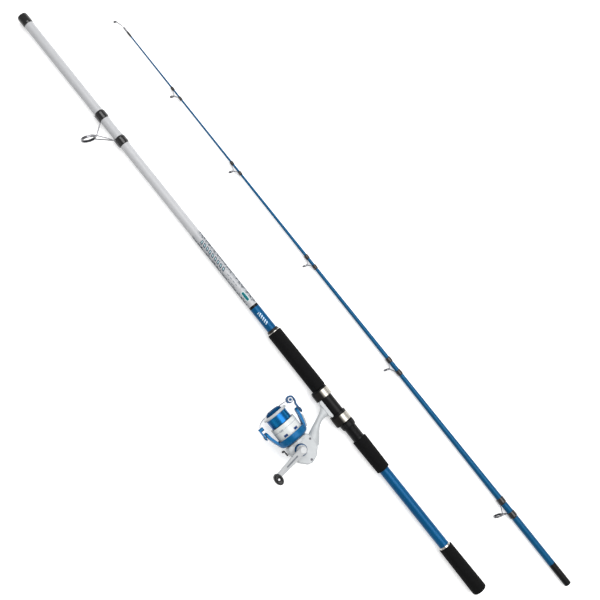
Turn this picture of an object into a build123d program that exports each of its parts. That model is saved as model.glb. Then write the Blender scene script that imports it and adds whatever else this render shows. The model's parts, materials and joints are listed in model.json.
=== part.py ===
from build123d import *
import os
from math import cos, sin, radians

# A two-piece fishing rod, taken apart, with a spinning reel in the seat of the butt section.
# Millimetres. Origin: centre of the butt end face. +X runs along the rod to its tip,
# +Y is the side that the reel hangs on as the rod lies, +Z is up from the table.
# In a reel frame, "along" is X, "out" is the distance from the rod axis towards the reel,
# and "side" is the distance towards the crank.

# ---- butt section ----
BUTT_LENGTH = 1241.0
BLANK_RADIUS_BUTT = 9.0
BLANK_RADIUS_FERRULE = 8.3
BORE_RADIUS_BUTT = 7.3
BORE_RADIUS_FERRULE = 6.6
GLUE_GAP = 0.02
SOCKET_RADIUS = 6.14
SOCKET_DEPTH = 50.0
BUTT_GRIP_LENGTH = 95.0
BUTT_GRIP_RADIUS = 13.2
REAR_GRIP_START = 262.0
REAR_GRIP_END = 328.0
FORE_GRIP_START = 437.0
FORE_GRIP_END = 558.0

# ---- reel seat ----
SEAT_RADIUS = 10.4
THREAD_CREST = 10.7
THREAD_PITCH = 1.5
HOOD_BORE = 10.9
NUT_START = 353.2
NUT_END = 363.8
HOOD_START = 364.2
HOOD_END = 385.0
FRONT_HOOD_START = 419.0
FOOT_START = 371.0
FOOT_END = 432.5
FOOT_UNDERSIDE = 10.7
FOOT_HALF_WIDTH = 5.5

# ---- reel ----
REEL_ROLL = 14.0
SPOOL_OUT = 85.5
DRIVE_ALONG = 379.0
DRIVE_OUT = 91.0
SHAFT_RADIUS = 1.8
RUNNING_GAP = 0.05
DRIVE_SHAFT_RADIUS = 3.0
GEAR_RADIUS = 12.0
GEAR_TEETH = 42
PINION_TEETH = 8
CASE_HALF_DEPTH = 15.0
CASE_WALL = 2.4
COVER_THICKNESS = 3.0
PIVOT_ALONG = 430.0
SKIRT_RADIUS = 23.2
ARBOR_RADIUS = 19.5
LIP_RADIUS = 22.6
CRANK_REACH = 65.0
CRANK_RISE = 0.4
CRANK_SWING = -3.0
CRANK_HUB_SIDE = 31.2
OSCILLATION_ALONG = 367.0
OSCILLATION_OUT = 95.5
OSCILLATION_TEETH = 20
SMALL_PINION_TEETH = 12

# ---- tip section ----
TIP_OFFSET = -122.7
TIP_HEIGHT = -6.1
TIP_ROLL = 5.0
SPIGOT_RADIUS = 6.1
SPIGOT_START = -87.0
TIP_START = -42.3
TIP_END = 1119.5
TIP_STATIONS = [
    (TIP_START, 6.1),
    (48.0, 6.0),
    (251.0, 4.65),
    (420.0, 3.7),
    (657.0, 2.6),
    (859.0, 1.8),
    (TIP_END, 1.25),
]
TIP_WALL = 1.0
TIP_BORE_END = 657.0

# line guides: front wrap, rear wrap, ring along, ring out, ring outer radius, wrap length
STRIPPER = (1025.0, 970.5, 1006.0, 41.8, 13.2, 16.0)
TIP_GUIDES = [
    (94.5, 64.5, 78.0, 20.6, 8.2, 12.0),
    (399.5, 372.0, 389.0, 13.6, 5.9, 10.0),
    (623.0, 601.0, 613.0, 12.0, 5.0, 8.5),
    (826.5, 804.5, 816.0, 10.8, 4.4, 8.0),
    (988.0, 966.5, 978.0, 9.4, 3.9, 7.5),
]
GUIDE_LEAN = 20.0
FOOT_LIFT = 0.06


# ---- frames ----
def tilted_frame(offset, height, roll):
    """A frame along a rod section: X along, Y out through the guides, Z to the side."""
    across = radians(roll)
    return Plane(
        origin=(0, offset, height),
        x_dir=(1, 0, 0),
        z_dir=(0, -sin(across), cos(across)),
    )


REEL = tilted_frame(0, 0, REEL_ROLL)
TIP = tilted_frame(TIP_OFFSET, TIP_HEIGHT, TIP_ROLL)
OUT = REEL.y_dir
SIDE = REEL.z_dir
ALONG = Vector(1, 0, 0)


def place(frame, along, out, side=0.0):
    """The point of the model at a position in a frame."""
    return frame.from_local_coords(Vector(along, out, side))


def lathe(centre, axis, radial):
    """A plane whose X runs along a turning axis and whose Y is the radius."""
    return Plane(origin=centre, x_dir=axis, z_dir=axis.cross(radial))


ROD_LATHE = lathe(Vector(0, 0, 0), ALONG, OUT)
TIP_LATHE = lathe(place(TIP, 0, 0), ALONG, TIP.y_dir)
SPOOL_LATHE = lathe(place(REEL, 0, SPOOL_OUT), ALONG, OUT)
DRIVE_LATHE = lathe(place(REEL, DRIVE_ALONG, DRIVE_OUT), SIDE, OUT)


def across_spool(along):
    """A plane square to the spool's axis, with its X away from the rod."""
    return Plane(origin=place(REEL, along, SPOOL_OUT), x_dir=OUT, z_dir=ALONG)


def blank_radius(along):
    """Outer radius of the butt section's tapered blank."""
    slope = (BLANK_RADIUS_FERRULE - BLANK_RADIUS_BUTT) / BUTT_LENGTH
    return BLANK_RADIUS_BUTT + slope * along


def tip_radius(along):
    """Outer radius of the tip section's blank, straight between its stations."""
    for (start, first), (end, second) in zip(TIP_STATIONS, TIP_STATIONS[1:]):
        if start <= along <= end:
            return first + (second - first) * (along - start) / (end - start)
    return TIP_STATIONS[-1][1]


# ---- shapes that repeat, added to the part that is open ----
def turned(outline, plane, rounds=(), mode=Mode.ADD):
    """Turn an outline of (along, radius) points, with some corners rounded."""
    with BuildSketch(plane, mode=Mode.PRIVATE) as profile:
        with BuildLine():
            Polyline(*outline, close=True)
        make_face()
        for corner, size in rounds:
            fillet(profile.vertices().sort_by_distance(corner)[0], size)
    revolve(profile.sketch, axis=Axis(plane.origin, plane.x_dir), mode=mode)


def ring(start, end, inner, outer, plane, mode=Mode.ADD):
    """A plain ring or, with an inner radius of 0, a disc."""
    turned([(start, inner), (start, outer), (end, outer), (end, inner)], plane, mode=mode)


def bent_wire(points, bend, radius):
    """A round wire along straight runs joined by bends."""
    with BuildLine(mode=Mode.PRIVATE) as path:
        FilletPolyline(*points, radius=bend)
    start = Plane(origin=path.line @ 0, z_dir=path.line % 0)
    with BuildSketch(start, mode=Mode.PRIVATE) as section:
        Circle(radius)
    sweep(section.sketch, path=path.line)


def toothed_disc(centre, start, end, root, tip, teeth, bore):
    """A spur gear with straight, tapered teeth, drawn with clearance."""
    with BuildSketch(centre.offset(start), mode=Mode.PRIVATE) as face:
        Circle(root)
        with PolarLocations((root + tip) / 2, teeth):
            Trapezoid((tip - root) * 1.2, tip - root + 0.4, 75, rotation=-90)
        if bore > 0:
            Circle(bore, mode=Mode.SUBTRACT)
    extrude(face.sketch, amount=end - start)


def rod_sleeve(start, end, first, last, rounding):
    """A sleeve glued over the butt blank."""
    outline = [
        (start, blank_radius(start) + GLUE_GAP),
        (start, first),
        (end, last),
        (end, blank_radius(end) + GLUE_GAP),
    ]
    rounds = [((start, first), rounding), ((end, last), rounding)]
    turned(outline, ROD_LATHE, rounds)


def thread_wrap(centre, length, rise, radius_at, plane):
    """A barrel of lacquered thread wound over a guide foot."""
    start = centre - length / 2
    end = centre + length / 2
    edge = 0.18 * length
    outline = [
        (start, radius_at(start) + GLUE_GAP),
        (start, radius_at(start) + 0.25),
        (start + edge, radius_at(start) + rise),
        (end - edge, radius_at(end) + rise),
        (end, radius_at(end) + 0.25),
        (end, radius_at(end) + GLUE_GAP),
    ]
    turned(outline, plane)


def guide_axis(frame, guide):
    """Turning plane of a guide's ring: its outer edge leans towards the rod tip."""
    _, _, along, out, _, _ = guide
    lean = radians(GUIDE_LEAN)
    normal = frame.x_dir * cos(lean) - frame.y_dir * sin(lean)
    return lathe(place(frame, along, out), normal, frame.z_dir)


def guide_frame(frame, guide, radius_at):
    """Frame of a double-foot guide: a band with two rear legs and one front leg."""
    front, rear, along, out, radius, wrap = guide
    band = 0.085 * radius + 0.25
    wire = 0.035 * radius + 0.5
    depth = 0.10 * radius + 0.5
    axis = guide_axis(frame, guide)
    ring(-depth, depth, radius - band, radius, axis)
    lean = radians(GUIDE_LEAN)
    spread = 1.25 * wire
    for hand in (-1, 1):
        foot = radius_at(rear) + wire + FOOT_LIFT
        points = [
            place(frame, rear - wrap / 2 + 1, foot, hand * spread),
            place(frame, rear + wrap / 2 + 1, foot, hand * spread),
            place(frame, along - 0.28 * radius, out - 0.75 * radius, hand * radius * 0.80),
            place(frame, along, out, hand * (radius + 0.3 * wire)),
        ]
        bent_wire(points, 0.25 * radius, wire)
    foot = radius_at(front) + wire + FOOT_LIFT
    reach = radius + 0.3 * wire
    points = [
        place(frame, front + wrap / 2 - 1, foot),
        place(frame, front - wrap / 2 - 0.5, foot),
        place(frame, along - reach * sin(lean), out - reach * cos(lean)),
    ]
    bent_wire(points, 0.25 * radius, wire)


def guide_ring(frame, guide):
    """Ceramic ring pressed into a guide's band."""
    radius = guide[4]
    band = 0.085 * radius + 0.25
    outer = radius - band
    depth = 0.10 * radius + 0.75
    thickness = 0.11 * radius + 0.35
    outline = [
        (-depth, outer - thickness * 0.7),
        (-depth, outer),
        (depth, outer),
        (depth, outer - thickness * 0.7),
        (depth * 0.5, outer - thickness),
        (-depth * 0.5, outer - thickness),
    ]
    turned(outline, guide_axis(frame, guide))


def save(part, label):
    """Name a finished part and write it."""
    part.label = label
    export_step(part, f"parts/{label}.step")


os.makedirs("parts", exist_ok=True)

# ======== butt section ========
with BuildPart() as butt_blank:
    turned(
        [
            (4.0, BORE_RADIUS_BUTT),
            (4.0, blank_radius(4.0)),
            (BUTT_LENGTH, blank_radius(BUTT_LENGTH)),
            (BUTT_LENGTH, SOCKET_RADIUS),
            (BUTT_LENGTH - SOCKET_DEPTH, SOCKET_RADIUS),
            (BUTT_LENGTH - SOCKET_DEPTH - 5, BORE_RADIUS_FERRULE),
        ],
        ROD_LATHE,
    )
save(butt_blank.part, "butt_blank")

with BuildPart() as butt_grip:
    turned(
        [
            (0, 0),
            (0, BUTT_GRIP_RADIUS - 0.2),
            (30, BUTT_GRIP_RADIUS),
            (BUTT_GRIP_LENGTH, 12.1),
            (BUTT_GRIP_LENGTH, blank_radius(BUTT_GRIP_LENGTH) + GLUE_GAP),
            (4.0, blank_radius(4.0) + GLUE_GAP),
            (4.0, 0),
        ],
        ROD_LATHE,
        [((0, BUTT_GRIP_RADIUS - 0.2), 3.5), ((BUTT_GRIP_LENGTH, 12.1), 1.2)],
    )
save(butt_grip.part, "butt_grip")

with BuildPart() as butt_grip_check:
    rod_sleeve(BUTT_GRIP_LENGTH, BUTT_GRIP_LENGTH + 3.0, 10.6, 9.7, 0.4)
save(butt_grip_check.part, "butt_grip_check")

with BuildPart() as rear_grip:
    rod_sleeve(REAR_GRIP_START, REAR_GRIP_END, 12.1, 13.1, 1.2)
save(rear_grip.part, "rear_grip")

with BuildPart() as fore_grip:
    rod_sleeve(FORE_GRIP_START + 0.1, FORE_GRIP_END, 13.2, 12.8, 1.4)
save(fore_grip.part, "fore_grip")

with BuildPart() as winding_check:
    rod_sleeve(FORE_GRIP_END, FORE_GRIP_END + 6.0, 11.6, 9.9, 0.6)
save(winding_check.part, "winding_check")

with BuildPart() as ferrule_wrap:
    start = BUTT_LENGTH - 19.0
    turned(
        [
            (start, blank_radius(start) + GLUE_GAP),
            (start, blank_radius(start) + 0.3),
            (start + 2.5, 9.2),
            (BUTT_LENGTH - 1.5, 9.2),
            (BUTT_LENGTH, 8.9),
            (BUTT_LENGTH, blank_radius(BUTT_LENGTH) + GLUE_GAP),
        ],
        ROD_LATHE,
    )
save(ferrule_wrap.part, "ferrule_wrap")

with BuildPart() as stripper_guide_frame:
    guide_frame(REEL, STRIPPER, blank_radius)
save(stripper_guide_frame.part, "stripper_guide_frame")

with BuildPart() as stripper_guide_ring:
    guide_ring(REEL, STRIPPER)
save(stripper_guide_ring.part, "stripper_guide_ring")

with BuildPart() as stripper_guide_wraps:
    for centre in STRIPPER[:2]:
        thread_wrap(centre, STRIPPER[5], 1.5, blank_radius, ROD_LATHE)
save(stripper_guide_wraps.part, "stripper_guide_wraps")


# ======== reel seat ========
def hood_outline(plane, thicker=0.0):
    """Section of a hood: round about the rod, with a keel over the reel foot."""
    with BuildSketch(plane, mode=Mode.PRIVATE) as section:
        Circle(HOOD_RADIUS + thicker)
        with Locations((KEEL_OUT, 0)):
            Circle(KEEL_RADIUS + thicker)
        make_hull()
    return section.sketch


def across_rod(along):
    """A plane square to the rod, with its X towards the reel."""
    return Plane(origin=(along, 0, 0), x_dir=OUT, z_dir=ALONG)


def foot_pocket(start, end):
    """Clear the space that a hood leaves for an end of the reel foot."""
    height = 5.0
    with BuildSketch(across_rod(start), mode=Mode.PRIVATE) as mouth:
        with Locations((10.0 + height / 2, 0)):
            Rectangle(height, 2 * FOOT_HALF_WIDTH + 1.2)
    extrude(mouth.sketch, amount=end - start, mode=Mode.SUBTRACT)


HOOD_RADIUS = 12.5
KEEL_RADIUS = 8.6
KEEL_OUT = 9.0
COVER_SHEET = 0.6

with BuildPart() as reel_seat:
    seat_start = REAR_GRIP_END + 0.1
    extrude(hood_outline(across_rod(FRONT_HOOD_START)), amount=18.0)
    chamfer(reel_seat.faces().sort_by(Axis.X)[-1].edges(), 1.5)
    foot_pocket(FRONT_HOOD_START, FOOT_END + 0.6)
    ring(seat_start, FORE_GRIP_START, 0, SEAT_RADIUS, ROD_LATHE)
    thread_turns = 20
    for turn in range(thread_turns):
        crest = seat_start + 3.0 + turn * THREAD_PITCH
        ridge = [
            (crest - 0.5, SEAT_RADIUS - 0.1),
            (crest, THREAD_CREST),
            (crest + 0.5, SEAT_RADIUS - 0.1),
        ]
        turned(ridge, ROD_LATHE)
    turned(
        [
            (seat_start - 1, 0),
            (seat_start - 1, blank_radius(seat_start - 1) + GLUE_GAP),
            (FORE_GRIP_START + 1, blank_radius(FORE_GRIP_START + 1) + GLUE_GAP),
            (FORE_GRIP_START + 1, 0),
        ],
        ROD_LATHE,
        mode=Mode.SUBTRACT,
    )
save(reel_seat.part, "reel_seat")


def hood_cover(start, end):
    """Polished metal band round a hood."""
    extrude(hood_outline(across_rod(start), COVER_SHEET), amount=end - start)
    extrude(hood_outline(across_rod(start), 0.01), amount=end - start, mode=Mode.SUBTRACT)


with BuildPart() as front_hood_cover:
    hood_cover(FRONT_HOOD_START + 0.6, FRONT_HOOD_START + 14.0)
save(front_hood_cover.part, "front_hood_cover")

with BuildPart() as sliding_hood:
    extrude(hood_outline(across_rod(HOOD_START)), amount=HOOD_END - HOOD_START)
    chamfer(sliding_hood.faces().sort_by(Axis.X)[0].edges(), 1.0)
    foot_pocket(FOOT_START - 1.2, HOOD_END + 1)
    ring(HOOD_START - 1, HOOD_END + 1, 0, HOOD_BORE, ROD_LATHE, Mode.SUBTRACT)
save(sliding_hood.part, "sliding_hood")

with BuildPart() as rear_hood_cover:
    hood_cover(HOOD_START + 2.0, HOOD_START + 16.0)
save(rear_hood_cover.part, "rear_hood_cover")

with BuildPart() as lock_nut:
    turned(
        [
            (NUT_START, HOOD_BORE),
            (NUT_START, 11.9),
            (NUT_START + 3.0, 12.9),
            (NUT_END, 13.1),
            (NUT_END, HOOD_BORE),
        ],
        ROD_LATHE,
    )
    with BuildSketch(across_rod(NUT_START + 3.2), mode=Mode.PRIVATE) as flutes:
        with PolarLocations(13.5, 24):
            Circle(0.8)
    extrude(flutes.sketch, amount=NUT_END - NUT_START, mode=Mode.SUBTRACT)
save(lock_nut.part, "lock_nut")

# ======== reel body ========
CASE_OUTLINE = [
    (394.9, 66.0),
    (394.9, 107.0),
    (384.0, 111.0),
    (364.0, 107.0),
    (352.5, 97.0),
    (350.0, 88.0),
    (354.5, 76.0),
    (365.0, 65.0),
    (381.0, 62.0),
]
CASE_ROUNDS = 6.0
COLLAR_START = 390.4
COLLAR_RADIUS = 19.5
SCREW_POSTS = [(383.5, 67.5), (355.5, 87.0), (372.0, 106.0)]
STEM_SECTIONS = [
    # along, out, lean of the section, length, thickness
    (402.0, 14.0, 0.0, 30.0, 9.0),
    (400.0, 20.0, 4.0, 17.0, 9.0),
    (397.0, 30.0, 14.0, 10.5, 9.5),
    (391.0, 43.0, 30.0, 12.0, 10.5),
    (381.5, 56.0, 34.0, 19.0, 14.0),
    (374.0, 68.0, 30.0, 26.0, 19.0),
]


def case_outline(plane, inset):
    """Side outline of the gear case, inset from the outside."""
    with BuildSketch(plane, mode=Mode.PRIVATE) as outline:
        with BuildLine():
            Polyline(*CASE_OUTLINE, close=True)
        make_face()
        fillet(outline.vertices(), CASE_ROUNDS)
        if inset > 0:
            offset(amount=-inset)
    return outline.sketch


with BuildPart() as reel_body:
    extrude(case_outline(REEL.offset(-CASE_HALF_DEPTH), 0), amount=2 * CASE_HALF_DEPTH - COVER_THICKNESS)
    fillet(reel_body.faces().sort_by(Axis(REEL.origin, SIDE))[0].edges(), 4.5)
    ring(COLLAR_START, 394.9, 0, COLLAR_RADIUS, SPOOL_LATHE)
    ring(394.8, 400.0, 0, 14.0, SPOOL_LATHE)
    ring(-22.0, -CASE_HALF_DEPTH + 1, 0, 8.6, DRIVE_LATHE)
    for along, out, lean, length, thickness in STEM_SECTIONS:
        tilt = radians(lean)
        section_x = ALONG * cos(tilt) + OUT * sin(tilt)
        section_plane = Plane(origin=place(REEL, along, out), x_dir=section_x, z_dir=section_x.cross(SIDE))
        with BuildSketch(section_plane):
            Ellipse(length / 2, thickness / 2)
    loft()
    with BuildSketch(REEL.offset(-FOOT_HALF_WIDTH)):
        with BuildLine():
            Polyline(
                (FOOT_START, FOOT_UNDERSIDE),
                (FOOT_END, FOOT_UNDERSIDE),
                (FOOT_END, 12.2),
                (421.0, 13.4),
                (413.0, 16.5),
                (391.0, 16.5),
                (383.0, 13.4),
                (FOOT_START, 12.2),
                close=True,
            )
        make_face()
    extrude(amount=2 * FOOT_HALF_WIDTH)
    ring(395.0, 401.0, 0, 11.0, SPOOL_LATHE, Mode.SUBTRACT)
    ring(380.0, 396.0, 0, 7.5, SPOOL_LATHE, Mode.SUBTRACT)
    ring(-22.5, -10.0, 0, 5.0, DRIVE_LATHE, Mode.SUBTRACT)
    cavity_floor = -CASE_HALF_DEPTH + CASE_WALL
    cavity_depth = 2 * CASE_HALF_DEPTH - CASE_WALL
    extrude(case_outline(REEL.offset(cavity_floor), CASE_WALL), amount=cavity_depth, mode=Mode.SUBTRACT)
    with BuildSketch(REEL.offset(cavity_floor)):
        with Locations(*SCREW_POSTS):
            Circle(2.5)
    extrude(amount=2 * CASE_HALF_DEPTH - CASE_WALL - COVER_THICKNESS)
    with BuildSketch(REEL.offset(-6.0)):
        with Locations(*SCREW_POSTS):
            Circle(1.1)
    extrude(amount=30.0, mode=Mode.SUBTRACT)
save(reel_body.part, "reel_body")

with BuildPart() as side_cover:
    cover_face = CASE_HALF_DEPTH - COVER_THICKNESS
    extrude(case_outline(REEL.offset(cover_face + 0.02), 0), amount=COVER_THICKNESS)
    fillet(side_cover.faces().sort_by(Axis(REEL.origin, SIDE))[-1].edges(), 2.4)
    ring(COLLAR_START - 0.05, 396.0, 0, COLLAR_RADIUS + 0.05, SPOOL_LATHE, Mode.SUBTRACT)
    ring(CASE_HALF_DEPTH - 1, 24.0, 0, 8.4, DRIVE_LATHE)
    ring(cover_face - 1, 25.0, 0, 5.0, DRIVE_LATHE, Mode.SUBTRACT)
    with BuildSketch(REEL.offset(7.4)):
        with Locations((OSCILLATION_ALONG, OSCILLATION_OUT)):
            Circle(3.0)
    extrude(amount=cover_face - 7.0)
    with BuildSketch(REEL.offset(4.6)):
        with Locations((OSCILLATION_ALONG, OSCILLATION_OUT)):
            Circle(1.5)
    extrude(amount=4.0)
    with BuildSketch(REEL.offset(cover_face - 1)):
        with Locations(*SCREW_POSTS):
            Circle(1.2)
    extrude(amount=6.0, mode=Mode.SUBTRACT)
    with BuildSketch(REEL.offset(CASE_HALF_DEPTH - 1.4)):
        with Locations(*SCREW_POSTS):
            Circle(2.2)
    extrude(amount=6.0, mode=Mode.SUBTRACT)
save(side_cover.part, "side_cover")

with BuildPart() as cover_screws:
    with BuildSketch(REEL.offset(-5.0)):
        with Locations(*SCREW_POSTS):
            Circle(1.05)
    extrude(amount=CASE_HALF_DEPTH + 4.0)
    with BuildSketch(REEL.offset(CASE_HALF_DEPTH - 1.4)):
        with Locations(*SCREW_POSTS):
            Circle(2.1)
    extrude(amount=1.3)
    with BuildSketch(REEL.offset(CASE_HALF_DEPTH - 0.8)):
        with Locations(*SCREW_POSTS):
            Rectangle(2.6, 0.6)
            Rectangle(0.6, 2.6)
    extrude(amount=1.0, mode=Mode.SUBTRACT)
save(cover_screws.part, "cover_screws")

with BuildPart() as trim_ring:
    turned(
        [(15.03, 8.45), (15.03, 10.8), (16.4, 10.6), (17.4, 9.8), (17.4, 8.45)],
        DRIVE_LATHE,
    )
save(trim_ring.part, "trim_ring")

with BuildPart() as drive_shaft_bearings:
    for start in (-21.4, 20.2):
        ring(start, start + 3.0, DRIVE_SHAFT_RADIUS + RUNNING_GAP, 4.99, DRIVE_LATHE)
save(drive_shaft_bearings.part, "drive_shaft_bearings")

with BuildPart() as shaft_cap:
    turned(
        [
            (-22.05, 4.4),
            (-22.05, 7.8),
            (-30.5, 7.4),
            (-34.5, 6.4),
            (-34.5, 0),
            (-25.5, 0),
            (-25.5, 4.4),
        ],
        DRIVE_LATHE,
        [((-34.5, 6.4), 1.6), ((-30.5, 7.4), 3.0)],
    )
save(shaft_cap.part, "shaft_cap")

with BuildPart() as pinion_bearing:
    ring(391.7, 394.8, 3.6, 7.49, SPOOL_LATHE)
save(pinion_bearing.part, "pinion_bearing")

with BuildPart() as one_way_clutch:
    ring(395.1, 399.6, 3.75, 10.95, SPOOL_LATHE)
    with BuildSketch(across_spool(396.0)):
        with PolarLocations(5.9, 8):
            Circle(1.1)
    extrude(amount=4.0, mode=Mode.SUBTRACT)
save(one_way_clutch.part, "one_way_clutch")

LEVER_ALONG = 386.5
LEVER_OUT = 111.4

with BuildPart() as anti_reverse_lever:
    lever_plane = Plane(origin=place(REEL, LEVER_ALONG, LEVER_OUT), x_dir=ALONG, z_dir=OUT)
    with BuildSketch(lever_plane):
        Circle(3.2)
        with Locations((4.0, 0)):
            Rectangle(8.0, 3.6)
    extrude(amount=2.0)
    with BuildSketch(lever_plane.offset(1.0)):
        with Locations((7.2, 0)):
            Rectangle(3.0, 6.4)
    extrude(amount=4.2)
    fillet(anti_reverse_lever.faces().sort_by(Axis(REEL.origin, OUT))[-1].edges(), 1.0)
save(anti_reverse_lever.part, "anti_reverse_lever")

# ======== rotor ========
CUP_RIM = 28.6
ARM_OUTLINE = [
    (398.6, 24.2),
    (402.0, 27.6),
    (412.0, 31.4),
    (424.0, 34.6),
    (437.0, 35.6),
    (437.0, 31.2),
    (424.0, 30.2),
    (412.0, 27.4),
    (404.0, 26.0),
]
ARM_SECTOR = 40.0


def spool_lathe_turned(angle):
    """The spool's turning plane, turned about its own axis."""
    radial = OUT.rotate(Axis.X, angle)
    return lathe(place(REEL, 0, SPOOL_OUT), ALONG, radial)


with BuildPart() as rotor_arm:
    with BuildSketch(spool_lathe_turned(-ARM_SECTOR / 2)):
        with BuildLine():
            Polyline(*ARM_OUTLINE, close=True)
        make_face()
    revolve(axis=Axis(SPOOL_LATHE.origin, ALONG), revolution_arc=ARM_SECTOR)
    arm_view = Plane(origin=place(REEL, 0, SPOOL_OUT), x_dir=ALONG, z_dir=OUT)
    with BuildSketch(arm_view):
        with BuildLine():
            Polyline((396.0, -10.0), (405.0, -9.6), (424.0, -7.4), (430.5, -6.6))
            ThreePointArc((430.5, -6.6), (437.1, 0.0), (430.5, 6.6))
            Polyline((430.5, 6.6), (424.0, 7.4), (405.0, 9.6), (396.0, 10.0), (396.0, -10.0))
        make_face()
    extrude(amount=45.0, mode=Mode.INTERSECT)

SPRING_POCKET = (405.5, 27.6, 420.5, 31.7)

with BuildPart() as rotor:
    turned(
        [
            (397.0, 20.8),
            (397.0, 24.0),
            (400.2, 27.2),
            (410.0, CUP_RIM),
            (410.0, 26.9),
            (403.2, 25.4),
            (403.2, 9.0),
            (421.0, 9.0),
            (421.0, 3.6),
            (400.7, 3.6),
            (400.7, 20.8),
        ],
        SPOOL_LATHE,
        [((397.0, 24.0), 1.5), ((400.2, 27.2), 2.5)],
    )
    add(rotor_arm.part)
    add(rotor_arm.part.rotate(Axis(SPOOL_LATHE.origin, ALONG), 180))
    for hand in (-1, 1):
        pivot = Plane(origin=place(REEL, PIVOT_ALONG, SPOOL_OUT), x_dir=ALONG, z_dir=OUT * hand)
        with BuildSketch(pivot.offset(29.0)):
            Circle(1.5)
        extrude(amount=9.0, mode=Mode.SUBTRACT)
    low_along, low_radius, high_along, high_radius = SPRING_POCKET
    pocket_start = place(REEL, low_along, SPOOL_OUT - low_radius)
    pocket_run = place(REEL, high_along, SPOOL_OUT - high_radius) - pocket_start
    with BuildSketch(Plane(origin=pocket_start, z_dir=pocket_run)):
        Circle(1.75)
    extrude(amount=pocket_run.length, mode=Mode.SUBTRACT)
save(rotor.part, "rotor")

with BuildPart() as bail_spring:
    spring_foot = place(REEL, low_along + 1.6, SPOOL_OUT - low_radius - 0.42)
    with BuildLine(mode=Mode.PRIVATE) as spring_path:
        Helix(pitch=2.0, height=12.0, radius=1.15, center=spring_foot, direction=pocket_run)
    with BuildSketch(Plane(origin=spring_path.line @ 0, z_dir=spring_path.line % 0)) as spring_wire:
        Circle(0.3)
    sweep(spring_wire.sketch, path=spring_path.line, is_frenet=True)
save(bail_spring.part, "bail_spring")

with BuildPart() as rotor_arm_cover:
    cover_sector = 30.0
    with BuildSketch(spool_lathe_turned(180 - cover_sector / 2)):
        with BuildLine():
            Polyline(
                (402.1, 27.75),
                (412.0, 31.5),
                (423.0, 34.45),
                (423.0, 35.6),
                (420.0, 36.2),
                (411.5, 34.0),
                (402.5, 30.3),
                close=True,
            )
        make_face()
    revolve(axis=Axis(SPOOL_LATHE.origin, ALONG), revolution_arc=cover_sector)
save(rotor_arm_cover.part, "rotor_arm_cover")

with BuildPart() as pinion_gear:
    toothed_disc(across_spool(0), 384.0, 391.0, 3.0, 4.0, PINION_TEETH, 0)
    ring(391.0, 421.0, 0, 3.55, SPOOL_LATHE)
    ring(421.0, 424.4, 0, 3.05, SPOOL_LATHE)
    ring(383.0, 425.0, 0, SHAFT_RADIUS + 0.08, SPOOL_LATHE, Mode.SUBTRACT)
save(pinion_gear.part, "pinion_gear")

with BuildPart() as rotor_nut:
    with BuildSketch(across_spool(421.05)):
        RegularPolygon(6.2, 6)
        Circle(3.07, mode=Mode.SUBTRACT)
    extrude(amount=3.2)
save(rotor_nut.part, "rotor_nut")

# ======== bail ========
BAIL_ARM_INNER = 36.3
ROLLER_ALONG = 453.0
ROLLER_RADIUS_OUT = 34.9
WIRE_RADIUS = 0.8
ROLLER_OUT = SPOOL_OUT - ROLLER_RADIUS_OUT
HOOK_HALF = 5.9
HOOK_SIDE = -5.2
LEVER_TIP_ALONG = 444.6

with BuildPart() as bail_arm:
    inner_side = Plane(origin=place(REEL, PIVOT_ALONG, SPOOL_OUT), x_dir=ALONG, z_dir=-OUT)
    with BuildSketch(inner_side.offset(BAIL_ARM_INNER)):
        Circle(5.6)
        with Locations((6.5, 0)):
            Rectangle(13.0, 7.0)
    extrude(amount=2.8)
    with BuildSketch(REEL.offset(HOOK_SIDE)):
        hook_out = ROLLER_OUT - HOOK_HALF
        with BuildLine():
            FilletPolyline(
                (PIVOT_ALONG + 11.0, SPOOL_OUT - BAIL_ARM_INNER - 1.4),
                (ROLLER_ALONG - 5.0, hook_out),
                (ROLLER_ALONG + HOOK_HALF, hook_out),
                (ROLLER_ALONG + HOOK_HALF, ROLLER_OUT + HOOK_HALF),
                (ROLLER_ALONG - 2.2, ROLLER_OUT + HOOK_HALF),
                radius=5.6,
            )
        trace(line_width=2.4)
    extrude(amount=8.0)
    with BuildSketch(REEL.offset(HOOK_SIDE)):
        with Locations((ROLLER_ALONG, ROLLER_OUT)):
            Circle(HOOK_HALF)
    extrude(amount=1.8)
    with BuildSketch(REEL.offset(HOOK_SIDE)):
        with Locations((ROLLER_ALONG, ROLLER_OUT)):
            Circle(1.2)
    extrude(amount=9.0)
    with BuildSketch(REEL.offset(HOOK_SIDE + 8.4)):
        with Locations((ROLLER_ALONG, ROLLER_OUT)):
            Circle(2.3)
    extrude(amount=0.9)
    with BuildSketch(inner_side.offset(BAIL_ARM_INNER - 1)):
        Circle(1.5)
    extrude(amount=5.0, mode=Mode.SUBTRACT)
save(bail_arm.part, "bail_arm")

with BuildPart() as line_roller:
    roller = lathe(place(REEL, ROLLER_ALONG, ROLLER_OUT), SIDE, OUT)
    turned(
        [
            (-3.2, 1.2 + RUNNING_GAP),
            (-3.2, 4.2),
            (-2.2, 4.2),
            (-0.4, 3.2),
            (1.2, 3.2),
            (2.2, 4.2),
            (2.9, 4.2),
            (2.9, 1.2 + RUNNING_GAP),
        ],
        roller,
    )
save(line_roller.part, "line_roller")

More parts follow.
